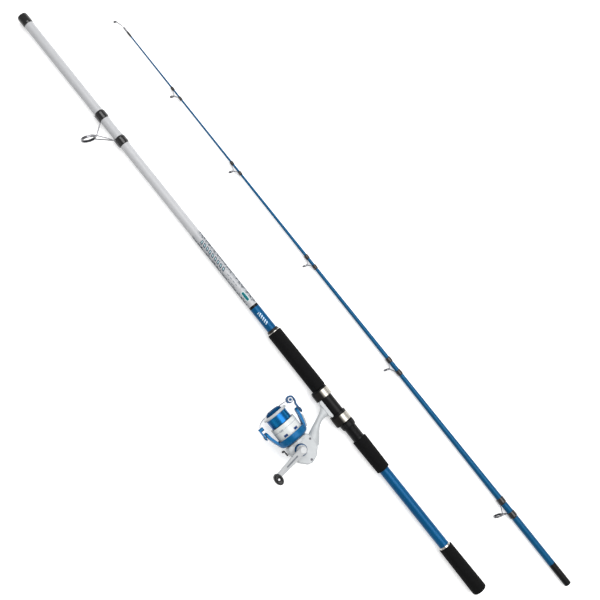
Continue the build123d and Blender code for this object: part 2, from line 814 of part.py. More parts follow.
with BuildPart() as bail_lever:
    outer_side = Plane(origin=place(REEL, PIVOT_ALONG, SPOOL_OUT), x_dir=ALONG, z_dir=OUT)
    with BuildSketch(outer_side.offset(BAIL_ARM_INNER)):
        Circle(5.4)
        with Locations((LEVER_TIP_ALONG - PIVOT_ALONG, 0)):
            Circle(3.4)
        make_hull()
    extrude(amount=2.4)
    with BuildSketch(outer_side.offset(30.4)):
        with Locations((LEVER_TIP_ALONG - PIVOT_ALONG, 0)):
            Circle(3.4)
    extrude(amount=8.3)
    with BuildSketch(outer_side.offset(BAIL_ARM_INNER - 1)):
        Circle(1.5)
    extrude(amount=5.0, mode=Mode.SUBTRACT)
save(bail_lever.part, "bail_lever")

with BuildPart() as bail_wire:
    bent_wire(
        [
            place(REEL, ROLLER_ALONG, ROLLER_OUT + 2.0, HOOK_SIDE),
            place(REEL, 455.0, ROLLER_OUT + 2.0, -30.9),
            place(REEL, 453.5, 117.6, -30.9),
            place(REEL, LEVER_TIP_ALONG, 118.6, -3.45),
        ],
        24.0,
        WIRE_RADIUS,
    )
save(bail_wire.part, "bail_wire")

with BuildPart() as bail_pivot_screws:
    for hand, reach in ((-1, 2.8), (1, 2.4)):
        pivot = Plane(origin=place(REEL, PIVOT_ALONG, SPOOL_OUT), x_dir=ALONG, z_dir=OUT * hand)
        with BuildSketch(pivot.offset(BAIL_ARM_INNER + reach + 0.1)):
            Circle(3.0)
        extrude(amount=1.0)
        with BuildSketch(pivot.offset(30.6)):
            Circle(1.45)
        extrude(amount=BAIL_ARM_INNER + reach - 30.4)
save(bail_pivot_screws.part, "bail_pivot_screws")

# ======== main shaft and spool ========
with BuildPart() as main_shaft:
    ring(361.5, 452.4, 0, SHAFT_RADIUS, SPOOL_LATHE)
save(main_shaft.part, "main_shaft")

with BuildPart() as oscillation_slider:
    with BuildSketch(REEL.offset(-3.4)):
        with Locations((364.5, 84.4)):
            Rectangle(7.0, 6.2)
    extrude(amount=7.0)
    ring(360.0, 370.0, 0, SHAFT_RADIUS, SPOOL_LATHE, Mode.SUBTRACT)
save(oscillation_slider.part, "oscillation_slider")

with BuildPart() as spool_washer:
    ring(425.0, 426.6, SHAFT_RADIUS, 4.6, SPOOL_LATHE)
save(spool_washer.part, "spool_washer")

with BuildPart() as spool_arbor:
    turned(
        [
            (426.9, SHAFT_RADIUS + RUNNING_GAP),
            (426.9, 5.0),
            (433.0, 5.0),
            (433.0, 17.5),
            (427.6, 17.5),
            (427.6, ARBOR_RADIUS),
            (449.0, ARBOR_RADIUS),
            (449.0, 17.5),
            (435.9, 17.5),
            (435.9, 5.0),
            (446.5, 5.0),
            (446.5, SHAFT_RADIUS + RUNNING_GAP),
        ],
        SPOOL_LATHE,
    )
save(spool_arbor.part, "spool_arbor")

with BuildPart() as spool_skirt:
    turned(
        [
            (404.2, 21.7),
            (404.2, SKIRT_RADIUS),
            (431.9, SKIRT_RADIUS),
            (432.6, 22.4),
            (432.6, ARBOR_RADIUS + 0.02),
            (430.4, ARBOR_RADIUS + 0.02),
            (430.4, 21.7),
        ],
        SPOOL_LATHE,
    )
save(spool_skirt.part, "spool_skirt")

with BuildPart() as spool_lip:
    turned(
        [
            (449.02, 15.3),
            (449.02, 21.2),
            (450.2, LIP_RADIUS),
            (452.0, LIP_RADIUS),
            (453.6, 20.4),
            (453.6, 16.4),
            (452.6, 15.3),
        ],
        SPOOL_LATHE,
        [((450.2, LIP_RADIUS), 0.7), ((452.0, LIP_RADIUS), 0.7)],
    )
save(spool_lip.part, "spool_lip")

WASHER_THICKNESS = 1.0

with BuildPart() as drag_felt_washers:
    for place_in_stack in (0, 2, 4):
        start = 436.0 + place_in_stack * WASHER_THICKNESS
        ring(start, start + WASHER_THICKNESS, 5.1, 15.5, SPOOL_LATHE)
save(drag_felt_washers.part, "drag_felt_washers")

with BuildPart() as drag_steel_washers:
    for place_in_stack in (1, 3, 5):
        start = 436.0 + place_in_stack * WASHER_THICKNESS
        ring(start, start + WASHER_THICKNESS, 5.1, 15.5, SPOOL_LATHE)
save(drag_steel_washers.part, "drag_steel_washers")

with BuildPart() as drag_knob:
    turned(
        [
            (447.6, SHAFT_RADIUS + RUNNING_GAP),
            (447.6, 13.2),
            (450.0, 13.9),
            (455.8, 13.9),
            (457.8, 12.6),
            (459.0, 10.0),
            (459.0, 0),
            (453.4, 0),
            (453.4, SHAFT_RADIUS + RUNNING_GAP),
        ],
        SPOOL_LATHE,
        [((457.8, 12.6), 1.5), ((459.0, 10.0), 1.5)],
    )
    with BuildSketch(across_spool(449.6)):
        with PolarLocations(13.7, 18):
            Circle(1.05)
    extrude(amount=7.0)
    with BuildSketch(across_spool(458.0)):
        with PolarLocations(8.2, 3):
            Circle(1.6)
    extrude(amount=2.0, mode=Mode.SUBTRACT)
save(drag_knob.part, "drag_knob")

with BuildPart() as drag_spring:
    with BuildLine(mode=Mode.PRIVATE) as coil:
        coil_foot = place(REEL, 442.9, SPOOL_OUT)
        Helix(pitch=1.3, height=3.6, radius=7.0, center=coil_foot, direction=ALONG)
    with BuildSketch(Plane(origin=coil.line @ 0, z_dir=coil.line % 0)) as coil_wire:
        Circle(0.45)
    sweep(coil_wire.sketch, path=coil.line, is_frenet=True)
save(drag_spring.part, "drag_spring")

# ======== drive train and crank ========
DRIVE_DISC = Plane(origin=place(REEL, DRIVE_ALONG, DRIVE_OUT), x_dir=ALONG, z_dir=SIDE)
OSCILLATION_DISC = Plane(
    origin=place(REEL, OSCILLATION_ALONG, OSCILLATION_OUT), x_dir=ALONG, z_dir=SIDE
)

with BuildPart() as drive_gear:
    ring(-9.0, -6.0, 0, GEAR_RADIUS, DRIVE_LATHE)
    with BuildSketch(DRIVE_DISC.offset(-6.0)):
        with PolarLocations(GEAR_RADIUS - 1.9, GEAR_TEETH):
            Rectangle(3.4, 0.75)
    extrude(amount=1.5)
    ring(-23.0, 34.0, 0, DRIVE_SHAFT_RADIUS, DRIVE_LATHE)
    toothed_disc(DRIVE_DISC, 4.4, 7.2, 4.2, 5.0, SMALL_PINION_TEETH, 0)
save(drive_gear.part, "drive_gear")

with BuildPart() as oscillation_gear:
    toothed_disc(OSCILLATION_DISC, 4.5, 7.2, 6.6, 7.4, OSCILLATION_TEETH, 1.5 + RUNNING_GAP)
    with BuildSketch(OSCILLATION_DISC.offset(4.1)):
        with Locations((-5.0, 0)):
            Circle(1.2)
    extrude(amount=0.5)
save(oscillation_gear.part, "oscillation_gear")


def crank_point(reach, side):
    """A point over the crank, at a distance from the drive shaft's axis."""
    swing = radians(90.0 - CRANK_SWING)
    along = DRIVE_ALONG + reach * cos(swing)
    return place(REEL, along, DRIVE_OUT + reach * sin(swing), side)


KNOB_CENTRE = crank_point(CRANK_REACH, 0)
KNOB_START = CRANK_HUB_SIDE + CRANK_RISE * CRANK_REACH + 4.6
KNOB_LENGTH = 25.0
SPINDLE_RADIUS = 1.9

with BuildPart() as crank_arm:
    hub = crank_point(0, CRANK_HUB_SIDE)
    far_end = crank_point(CRANK_REACH, CRANK_HUB_SIDE + CRANK_RISE * CRANK_REACH)
    arm_run = far_end - hub
    arm_across = SIDE.cross(arm_run)
    arm_plane = Plane(origin=hub, x_dir=arm_run, z_dir=arm_run.cross(arm_across))
    with BuildSketch(arm_plane.offset(-2.5)):
        Circle(6.2)
        with Locations((arm_run.length, 0)):
            Circle(4.2)
        make_hull()
    extrude(amount=5.0)
    fillet(crank_arm.faces().sort_by(Axis(hub, arm_plane.z_dir))[-1].edges(), 1.6)
    with BuildSketch(arm_plane.offset(1.7)):
        with Locations((arm_run.length * 0.42, 0)):
            SlotCenterToCenter(26.0, 2.6)
    extrude(amount=2.0, mode=Mode.SUBTRACT)
    turned(
        [(24.6, 0), (24.6, 6.9), (34.4, 6.9), (36.4, 5.2), (36.4, 0)],
        DRIVE_LATHE,
        [((34.4, 6.9), 1.0)],
    )
    knob_lathe = lathe(KNOB_CENTRE, SIDE, OUT)
    ring(KNOB_START - 7.4, KNOB_START - 0.6, 0, 4.3, knob_lathe)
    ring(24.0, 34.0, 0, DRIVE_SHAFT_RADIUS, DRIVE_LATHE, Mode.SUBTRACT)
    ring(KNOB_START - 9.0, KNOB_START + 1.0, 0, SPINDLE_RADIUS, knob_lathe, Mode.SUBTRACT)
save(crank_arm.part, "crank_arm")

with BuildPart() as knob_spindle:
    ring(KNOB_START - 7.4, KNOB_START + KNOB_LENGTH - 3.0, 0, SPINDLE_RADIUS, knob_lathe)
save(knob_spindle.part, "knob_spindle")

with BuildPart() as crank_knob:
    # side of the section, long half-width, short half-width
    knob_sections = [
        (0.0, 6.6, 5.2),
        (6.0, 7.6, 5.6),
        (15.0, 10.2, 7.0),
        (21.5, 9.8, 6.8),
        (KNOB_LENGTH, 7.4, 4.9),
    ]
    for rise, long_half, short_half in knob_sections:
        knob_plane = Plane(origin=KNOB_CENTRE + SIDE * (KNOB_START + rise), x_dir=ALONG, z_dir=SIDE)
        with BuildSketch(knob_plane):
            Ellipse(long_half, short_half)
    loft()
    knob_end = KNOB_START + KNOB_LENGTH
    knob_bore = SPINDLE_RADIUS + RUNNING_GAP
    ring(KNOB_START - 1.0, knob_end - 2.4, 0, knob_bore, knob_lathe, Mode.SUBTRACT)
    ring(knob_end - 2.6, knob_end + 1.0, 0, 3.0, knob_lathe, Mode.SUBTRACT)
save(crank_knob.part, "crank_knob")

with BuildPart() as knob_screw:
    head = KNOB_START + KNOB_LENGTH - 2.2
    turned(
        [(head, 0), (head, 2.7), (head + 1.2, 2.3), (head + 1.8, 1.2), (head + 1.8, 0)],
        knob_lathe,
    )
    ring(head - 0.8, head, 0, 1.6, knob_lathe)
    knob_top = Plane(origin=KNOB_CENTRE + SIDE * (head + 1.2), x_dir=ALONG, z_dir=SIDE)
    with BuildSketch(knob_top):
        Rectangle(3.4, 0.6)
        Rectangle(0.6, 3.4)
    extrude(amount=1.0, mode=Mode.SUBTRACT)
save(knob_screw.part, "knob_screw")

# ======== tip section ========
with BuildPart() as tip_blank:
    bore = [(along, radius - TIP_WALL) for along, radius in TIP_STATIONS if along <= TIP_BORE_END]
    turned(TIP_STATIONS + [(TIP_END, 0), (TIP_BORE_END, 0)] + bore[::-1], TIP_LATHE)
save(tip_blank.part, "tip_blank")

with BuildPart() as spigot:
    turned(
        [
            (SPIGOT_START, 0),
            (SPIGOT_START, SPIGOT_RADIUS),
            (TIP_START - 0.02, SPIGOT_RADIUS),
            (TIP_START - 0.02, 4.95),
            (TIP_START + 30.0, 4.95),
            (TIP_START + 30.0, 0),
        ],
        TIP_LATHE,
        [((SPIGOT_START, SPIGOT_RADIUS), 0.8)],
    )
save(spigot.part, "spigot")

with BuildPart() as tip_guide_frames:
    for guide in TIP_GUIDES:
        guide_frame(TIP, guide, tip_radius)
save(tip_guide_frames.part, "tip_guide_frames")

with BuildPart() as tip_guide_rings:
    for guide in TIP_GUIDES:
        guide_ring(TIP, guide)
save(tip_guide_rings.part, "tip_guide_rings")

with BuildPart() as tip_guide_wraps:
    for guide in TIP_GUIDES:
        for centre in guide[:2]:
            thread_wrap(centre, guide[5], 0.95, tip_radius, TIP_LATHE)
save(tip_guide_wraps.part, "tip_guide_wraps")

TOP_RING_ALONG = TIP_END + 18.0
TOP_RING_OUT = 5.6
TOP_RING_RADIUS = 3.1
TOP_GUIDE = (0, 0, TOP_RING_ALONG, TOP_RING_OUT, TOP_RING_RADIUS, 0)

with BuildPart() as tip_top_frame:
    turned(
        [
            (TIP_END - 8.0, 1.31),
            (TIP_END - 8.0, 1.7),
            (TIP_END + 1.2, 1.7),
            (TIP_END + 1.2, 0),
            (TIP_END + 0.02, 0),
            (TIP_END + 0.02, 1.31),
        ],
        TIP_LATHE,
    )
    ring(-0.7, 0.7, TOP_RING_RADIUS - 0.5, TOP_RING_RADIUS, guide_axis(TIP, TOP_GUIDE))
    for hand in (-1, 1):
        bent_wire(
            [
                place(TIP, TIP_END + 0.2, 0.2, hand * 0.8),
                place(TIP, TIP_END + 6.0, 0.6, hand * 1.2),
                place(TIP, TOP_RING_ALONG - 1.0, TOP_RING_OUT - 1.6, hand * 2.5),
                place(TIP, TOP_RING_ALONG, TOP_RING_OUT, hand * (TOP_RING_RADIUS - 0.2)),
            ],
            1.0,
            0.45,
        )
    ring(-2.0, 2.0, 0, TOP_RING_RADIUS - 0.5, guide_axis(TIP, TOP_GUIDE), Mode.SUBTRACT)
save(tip_top_frame.part, "tip_top_frame")

with BuildPart() as tip_top_ring:
    ring(-0.95, 0.95, TOP_RING_RADIUS - 1.15, TOP_RING_RADIUS - 0.5, guide_axis(TIP, TOP_GUIDE))
save(tip_top_ring.part, "tip_top_ring")

with BuildPart() as tip_top_wrap:
    thread_wrap(TIP_END - 13.6, 10.6, 0.55, tip_radius, TIP_LATHE)
save(tip_top_wrap.part, "tip_top_wrap")
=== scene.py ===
import json
from math import cos, pi, radians, sin

import bmesh
import bpy
from mathutils import Matrix, Vector, noise


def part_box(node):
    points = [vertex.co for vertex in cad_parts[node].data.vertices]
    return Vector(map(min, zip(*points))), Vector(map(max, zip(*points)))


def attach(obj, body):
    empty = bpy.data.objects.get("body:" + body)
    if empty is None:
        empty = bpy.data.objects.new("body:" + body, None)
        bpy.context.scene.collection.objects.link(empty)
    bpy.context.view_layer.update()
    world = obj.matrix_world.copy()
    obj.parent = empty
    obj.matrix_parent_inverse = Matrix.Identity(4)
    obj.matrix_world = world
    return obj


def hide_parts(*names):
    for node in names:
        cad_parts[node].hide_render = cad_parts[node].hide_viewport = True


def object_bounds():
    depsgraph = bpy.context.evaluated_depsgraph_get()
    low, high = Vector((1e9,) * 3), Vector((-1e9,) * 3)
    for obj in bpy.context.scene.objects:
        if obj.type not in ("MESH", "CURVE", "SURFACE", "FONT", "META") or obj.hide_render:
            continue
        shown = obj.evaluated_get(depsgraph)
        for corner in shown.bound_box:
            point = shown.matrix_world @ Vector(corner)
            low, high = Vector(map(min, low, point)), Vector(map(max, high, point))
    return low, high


# The looks of a two-piece fishing rod and its spinning reel, lying on a pale table.
# Metres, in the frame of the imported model: +X runs along the rod, +Y is the side that the
# reel hangs on, +Z is up. In the reel's own frame "out" is the distance from the rod axis
# and "side" the distance towards the crank.

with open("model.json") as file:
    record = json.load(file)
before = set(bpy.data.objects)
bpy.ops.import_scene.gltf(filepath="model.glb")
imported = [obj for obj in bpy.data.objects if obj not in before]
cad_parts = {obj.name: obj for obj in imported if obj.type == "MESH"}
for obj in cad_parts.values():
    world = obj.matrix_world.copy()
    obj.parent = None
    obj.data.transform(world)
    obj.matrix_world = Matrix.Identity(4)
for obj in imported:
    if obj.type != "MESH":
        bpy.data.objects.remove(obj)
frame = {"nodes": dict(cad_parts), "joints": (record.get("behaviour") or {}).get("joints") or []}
cad_low, cad_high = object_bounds()
NODES = frame["nodes"]
MM = 0.001
X = Vector((1, 0, 0))

# ---- driving dimensions ----
REEL_ROLL = radians(14.0)
TIP_ROLL = radians(5.0)
GUIDE_LEAN = radians(20.0)
BUTT_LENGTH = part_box("butt_blank")[1].x
BLANK_RADIUS_BUTT = 9.0 * MM
BLANK_RADIUS_FERRULE = 8.3 * MM
GLUE_GAP = 0.02 * MM
# distance along and radius of the tip blank, in millimetres
TIP_STATIONS = [
    (-42.3, 6.1),
    (48.0, 6.0),
    (251.0, 4.65),
    (420.0, 3.7),
    (657.0, 2.6),
    (859.0, 1.8),
    (1119.5, 1.25),
]
# front wrap, rear wrap, ring along, ring out, ring radius, wrap length, in millimetres
STRIPPER = (1025.0, 970.5, 1006.0, 41.8, 13.2, 16.0)
TIP_GUIDES = [
    (94.5, 64.5, 78.0, 20.6, 8.2, 12.0),
    (399.5, 372.0, 389.0, 13.6, 5.9, 10.0),
    (623.0, 601.0, 613.0, 12.0, 5.0, 8.5),
    (826.5, 804.5, 816.0, 10.8, 4.4, 8.0),
    (988.0, 966.5, 978.0, 9.4, 3.9, 7.5),
]
OUT = Vector((0, cos(REEL_ROLL), sin(REEL_ROLL)))
SIDE = Vector((0, -sin(REEL_ROLL), cos(REEL_ROLL)))
TIP_OUT = Vector((0, cos(TIP_ROLL), sin(TIP_ROLL)))
TIP_SIDE = Vector((0, -sin(TIP_ROLL), cos(TIP_ROLL)))


def joint_place(name):
    """Where a joint's axis stands, in metres."""
    found = [joint for joint in frame["joints"] if joint["name"] == name]
    return Vector(found[0]["pos_m"])


def across_centre(node):
    """Centre of a node's box across the rod, as a point with no X."""
    low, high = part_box(node)
    middle = (low + high) / 2
    return Vector((0, middle.y, middle.z))


ROD_AXIS = Vector((0, 0, 0))
TIP_AXIS = across_centre("tip_blank")
SPOOL_AXIS = across_centre("spool_lip")


def blank_radius(along):
    """Outer radius of the butt blank at a distance along the rod."""
    slope = (BLANK_RADIUS_FERRULE - BLANK_RADIUS_BUTT) / BUTT_LENGTH
    return BLANK_RADIUS_BUTT + slope * along


def tip_radius(along):
    """Outer radius of the tip blank at a distance along it."""
    for (start, first), (end, second) in zip(TIP_STATIONS, TIP_STATIONS[1:]):
        if start * MM <= along <= end * MM:
            share = (along - start * MM) / ((end - start) * MM)
            return (first + (second - first) * share) * MM
    return TIP_STATIONS[-1][1] * MM


# ======== materials ========
def srgb(red, green, blue):
    """A colour given as it looks on a screen, from 0 to 255, as linear RGBA."""
    linear = []
    for value in (red, green, blue):
        share = value / 255
        linear.append(share / 12.92 if share <= 0.04045 else ((share + 0.055) / 1.055) ** 2.4)
    return (*linear, 1.0)


def node(tree, kind, inputs=None, **settings):
    """A shader node with its settings, and its inputs set or linked."""
    made = tree.nodes.new(kind)
    for key, value in settings.items():
        setattr(made, key, value)
    for key, value in (inputs or {}).items():
        if isinstance(value, bpy.types.NodeSocket):
            tree.links.new(value, made.inputs[key])
        else:
            made.inputs[key].default_value = value
    return made


def calc(tree, operation, first, second=0.0):
    """The result of a sum on numbers or sockets."""
    return node(tree, "ShaderNodeMath", {0: first, 1: second}, operation=operation).outputs[0]


def between(tree, value, low, high, edge):
    """1 where a value lies from low to high, with soft edges, and 0 elsewhere."""
    slopes = []
    for outer, inner in ((low - edge, low + edge), (high + edge, high - edge)):
        ends = {"Value": value, "From Min": outer, "From Max": inner}
        slopes.append(node(tree, "ShaderNodeMapRange", ends, interpolation_type="SMOOTHSTEP").outputs[0])
    return calc(tree, "MULTIPLY", *slopes)


def product(tree, first, *factors):
    """The product of several numbers or sockets."""
    for factor in factors:
        first = calc(tree, "MULTIPLY", first, factor)
    return first


def repeating(tree, value, pitch):
    """How far a value is through its own pitch, from 0 to 1."""
    return calc(tree, "FRACT", calc(tree, "DIVIDE", value, pitch))


def spread(tree, value, low, high, from_low=0.0, from_high=1.0):
    """A value that runs over a new range."""
    ends = {"Value": value, "From Min": from_low, "From Max": from_high, "To Min": low, "To Max": high}
    return node(tree, "ShaderNodeMapRange", ends).outputs[0]


def blend_colour(tree, factor, first, second):
    """A colour that goes from the first to the second with the factor."""
    mixed = node(tree, "ShaderNodeMix", {0: factor, 6: first, 7: second}, data_type="RGBA")
    return mixed.outputs[2]


def object_place(tree):
    """The place on the object in metres."""
    return node(tree, "ShaderNodeTexCoord").outputs["Object"]


def place_on(tree, scale=(1, 1, 1)):
    """The place on the object in metres, stretched."""
    return node(tree, "ShaderNodeMapping", {"Vector": object_place(tree), "Scale": scale}).outputs[0]


def round_axis(tree, axis):
    """The distance along the rod, and the angle round an axis that runs along it."""
    from_axis = node(tree, "ShaderNodeVectorMath", {0: object_place(tree), 1: axis}, operation="SUBTRACT")
    along, across, up = node(tree, "ShaderNodeSeparateXYZ", {0: from_axis.outputs[0]}).outputs
    return along, calc(tree, "ARCTAN2", across, up)


def cloud(tree, size, scale=(1, 1, 1), detail=3.0):
    """Soft noise from 0 to 1 whose lumps have this size in metres."""
    inputs = {"Vector": place_on(tree, scale), "Scale": 1.0 / size, "Detail": detail}
    return node(tree, "ShaderNodeTexNoise", inputs).outputs[0]


def cells(tree, size):
    """Distance to the middle of the nearest cell of this size in metres."""
    inputs = {"Vector": place_on(tree), "Scale": 1.0 / size}
    return node(tree, "ShaderNodeTexVoronoi", inputs).outputs["Distance"]


def bump(tree, height, depth, under=None):
    """A normal from a height of 0 to 1 that stands for this depth in metres."""
    inputs = {"Height": height, "Distance": depth, "Strength": 1.0}
    if under is not None:
        inputs["Normal"] = under
    return node(tree, "ShaderNodeBump", inputs).outputs[0]


def surface(name, **sockets):
    """A material with its shader's own sockets set; returns it, its tree and its shader."""
    material = bpy.data.materials.new(name)
    material.use_nodes = True
    tree = material.node_tree
    shader = tree.nodes["Principled BSDF"]
    for key, value in sockets.items():
        shader.inputs[key.replace("_", " ")].default_value = value
    return material, tree, shader


def link(tree, source, shader, socket):
    """Feed a shader's socket."""
    tree.links.new(source, shader.inputs[socket])


def foam():
    """Closed-cell foam: near black, dull, with fine pores and a faint skin."""
    material, tree, shader = surface("foam", Specular_IOR_Level=0.12)
    patches = cloud(tree, 3.0 * MM, detail=6.0)
    pores = cells(tree, 0.55 * MM)
    link(tree, blend_colour(tree, patches, srgb(4, 4, 4), srgb(19, 19, 20)), shader, "Base Color")
    link(tree, spread(tree, pores, 0.95, 0.72), shader, "Roughness")
    rough = bump(tree, cloud(tree, 0.3 * MM), 0.05 * MM)
    link(tree, bump(tree, pores, 0.09 * MM, rough), shader, "Normal")
    return material


def moulded(name, dark, light, roughness, grain=0.25 * MM, depth=0.012 * MM, gloss=0.3):
    """Moulded plastic with a spark-eroded grain and slight shifts of tone."""
    material, tree, shader = surface(name, Specular_IOR_Level=gloss)
    link(tree, blend_colour(tree, cloud(tree, 6 * MM), dark, light), shader, "Base Color")
    tone = cloud(tree, 2 * MM, detail=5.0)
    link(tree, spread(tree, tone, roughness - 0.07, roughness + 0.07), shader, "Roughness")
    link(tree, bump(tree, cloud(tree, grain), depth), shader, "Normal")
    return material


def painted(name, dark, light, metallic, roughness=0.3, flake=0.14 * MM, coat=0.35):
    """Sprayed paint under clear lacquer, with flakes in it and a slight orange peel."""
    material, tree, shader = surface(
        name, Metallic=metallic, Coat_Weight=coat, Coat_Roughness=0.06, Specular_IOR_Level=0.2
    )
    drift = product(tree, cloud(tree, 9 * MM), 0.65)
    sparkle = product(tree, cells(tree, flake), 0.35)
    tone = calc(tree, "ADD", drift, sparkle)
    link(tree, blend_colour(tree, tone, dark, light), shader, "Base Color")
    link(tree, spread(tree, cloud(tree, 4 * MM), roughness - 0.06, roughness + 0.06), shader, "Roughness")
    link(tree, bump(tree, cells(tree, flake), 0.006 * MM), shader, "Normal")
    link(tree, bump(tree, cloud(tree, 1.6 * MM), 0.02 * MM), shader, "Coat Normal")
    return material


def metal(name, dark, light, roughness, turned=False, grain=0.06 * MM, depth=0.008 * MM):
    """Bare metal. Turned metal has fine lines round the X axis; the rest is tumbled."""
    material, tree, shader = surface(name, Metallic=1.0)
    stretch = (1, 0.02, 0.02) if turned else (1, 1, 1)
    lines = cloud(tree, grain, stretch, 4.0)
    tone = product(tree, calc(tree, "ADD", lines, cloud(tree, 7 * MM)), 0.5)
    link(tree, blend_colour(tree, tone, dark, light), shader, "Base Color")
    link(tree, spread(tree, lines, roughness - 0.1, roughness + 0.12), shader, "Roughness")
    link(tree, bump(tree, lines, depth), shader, "Normal")
    return material


def hood_cover():
    """Bright brushed metal over the rod, going to a painted dark reflection over the keel of the hood."""
    material, tree, shader = surface("hood_metal", Metallic=0.85, Specular_IOR_Level=0.5)
    lines = cloud(tree, 0.06 * MM, (1, 0.02, 0.02), 4.0)
    reach_out = node(tree, "ShaderNodeVectorMath", {0: object_place(tree), 1: OUT}, operation="DOT_PRODUCT")
    # Painted reflection: towards the keel the colour goes to dark chrome, standing for a reflection of dark
    # surroundings.
    painted_reflection_on_keel = spread(tree, reach_out.outputs["Value"], 0.0, 1.0, 1.5 * MM, 6.5 * MM)
    silver = blend_colour(tree, lines, srgb(162, 157, 148), srgb(204, 200, 190))
    painted_dark_reflection = blend_colour(tree, lines, srgb(24, 22, 21), srgb(60, 57, 54))
    link(tree, blend_colour(tree, painted_reflection_on_keel, silver, painted_dark_reflection), shader, "Base Color")
    link(tree, spread(tree, lines, 0.3, 0.46), shader, "Roughness")
    link(tree, bump(tree, lines, 0.008 * MM), shader, "Normal")
    return material


def thread_and_epoxy():
    """Black thread wound tight under clear epoxy: ridges below, with painted shade in the grooves and a
    painted highlight on the crests, and a glassy coat above.
    """
    material, tree, shader = surface(
        "thread_and_epoxy", Coat_Weight=0.8, Coat_Roughness=0.04, Specular_IOR_Level=0.2
    )
    thread_pitch = 0.3 * MM
    along = node(tree, "ShaderNodeSeparateXYZ", {0: object_place(tree)}).outputs[0]
    wobble = product(tree, cloud(tree, 5 * MM), 0.35)
    wave = calc(tree, "SINE", calc(tree, "ADD", product(tree, along, 2 * pi / thread_pitch), wobble))
    ridge = spread(tree, wave, 0.0, 1.0, -1.0, 1.0)
    # Painted shade and highlight: the colour is darker in the grooves between threads and lighter on their
    # crests.
    link(tree, blend_colour(tree, ridge, srgb(4, 4, 5), srgb(26, 26, 28)), shader, "Base Color")
    link(tree, spread(tree, ridge, 0.7, 0.4), shader, "Roughness")
    link(tree, bump(tree, ridge, 0.05 * MM), shader, "Normal")
    link(tree, bump(tree, cloud(tree, 2.5 * MM), 0.06 * MM), shader, "Coat Normal")
    return material


# ---- paint and print on the butt blank: places along the rod, and sizes ----
PAINT_RADIUS = 8.7 * MM
WHITE_PART = (613 * MM, 1300 * MM)
BLACK_RINGS = ((611 * MM, 615.5 * MM, srgb(12, 14, 17)), (-5 * MM, 6 * MM, srgb(10, 10, 10)))
PRINTED_PART = (618 * MM, 769 * MM)
BAR_RUN = (690 * MM, 754 * MM)
DASH_RUN = (658 * MM, 686 * MM)
TICK_RUN = (576 * MM, 600 * MM)
BAR_PITCH = 7.2 * MM
TICK_PITCH = 4.4 * MM
MARK_SLANT = 0.45
BADGE_MIDDLE = 635 * MM
# half length, half width and colour: the light border, then the badge on it
BADGE_LAYERS = ((9.4 * MM, 3.4 * MM, srgb(200, 214, 214)), (8.4 * MM, 2.5 * MM, srgb(8, 104, 112)))
PRINT_BLUR = 0.08 * MM


def print_specks_and_side_shade(tree, colour, around, printed):
    """Painted grey shade towards both sides of the tube over the printed stretch, and dark printed specks
    along both edges.
    """
    speck_size = 2.6 * MM
    inputs = {"Vector": place_on(tree), "Scale": 1 / speck_size, "Detail": 3.0, "Roughness": 0.7}
    speck = node(tree, "ShaderNodeTexNoise", inputs).outputs[0]
    off_middle = calc(tree, "ABSOLUTE", around)
    threshold = spread(tree, off_middle, 0.66, 0.47, 3.4 * MM, 8.5 * MM)
    specks = product(tree, calc(tree, "GREATER_THAN", speck, threshold), printed)
    # Painted shade: grey that deepens from the top line towards both sides of the tube.
    grey = product(tree, printed, spread(tree, off_middle, 0.05, 0.5, 2.0 * MM, 9.0 * MM))
    colour = blend_colour(tree, grey, colour, srgb(132, 140, 148))
    return blend_colour(tree, product(tree, specks, 0.9), colour, srgb(26, 38, 50))


def printed_marks(tree, colour, along, around, slant):
    """Generic marks in the printed stretch: outlined slanted bars, dashes and a plain badge."""
    step = repeating(tree, slant, BAR_PITCH)
    bar_run = between(tree, along, *BAR_RUN, 0.1 * MM)
    bar_outside = product(
        tree,
        between(tree, step, 0.06, 0.74, 0.02),
        between(tree, around, -3.2 * MM, 3.2 * MM, PRINT_BLUR),
        bar_run,
    )
    colour = blend_colour(tree, bar_outside, colour, srgb(10, 46, 70))
    bar_inside = product(
        tree,
        between(tree, step, 0.26, 0.54, 0.02),
        between(tree, around, -1.9 * MM, 1.9 * MM, PRINT_BLUR),
        bar_run,
    )
    colour = blend_colour(tree, bar_inside, colour, srgb(168, 196, 200))
    dashes = product(
        tree,
        between(tree, around, -0.5 * MM, 0.5 * MM, PRINT_BLUR),
        between(tree, step, 0.3, 0.85, 0.04),
        between(tree, along, *DASH_RUN, 0.2 * MM),
    )
    colour = blend_colour(tree, dashes, colour, srgb(96, 108, 118))
    from_badge = calc(tree, "SUBTRACT", along, BADGE_MIDDLE)
    for half_long, half_wide, paint in BADGE_LAYERS:
        lengthwise = calc(tree, "ABSOLUTE", calc(tree, "DIVIDE", from_badge, half_long))
        crosswise = calc(tree, "ABSOLUTE", calc(tree, "DIVIDE", around, half_wide))
        oval = calc(tree, "ADD", calc(tree, "POWER", lengthwise, 6.0), calc(tree, "POWER", crosswise, 4.0))
        colour = blend_colour(tree, calc(tree, "LESS_THAN", oval, 1.0), colour, paint)
    return colour


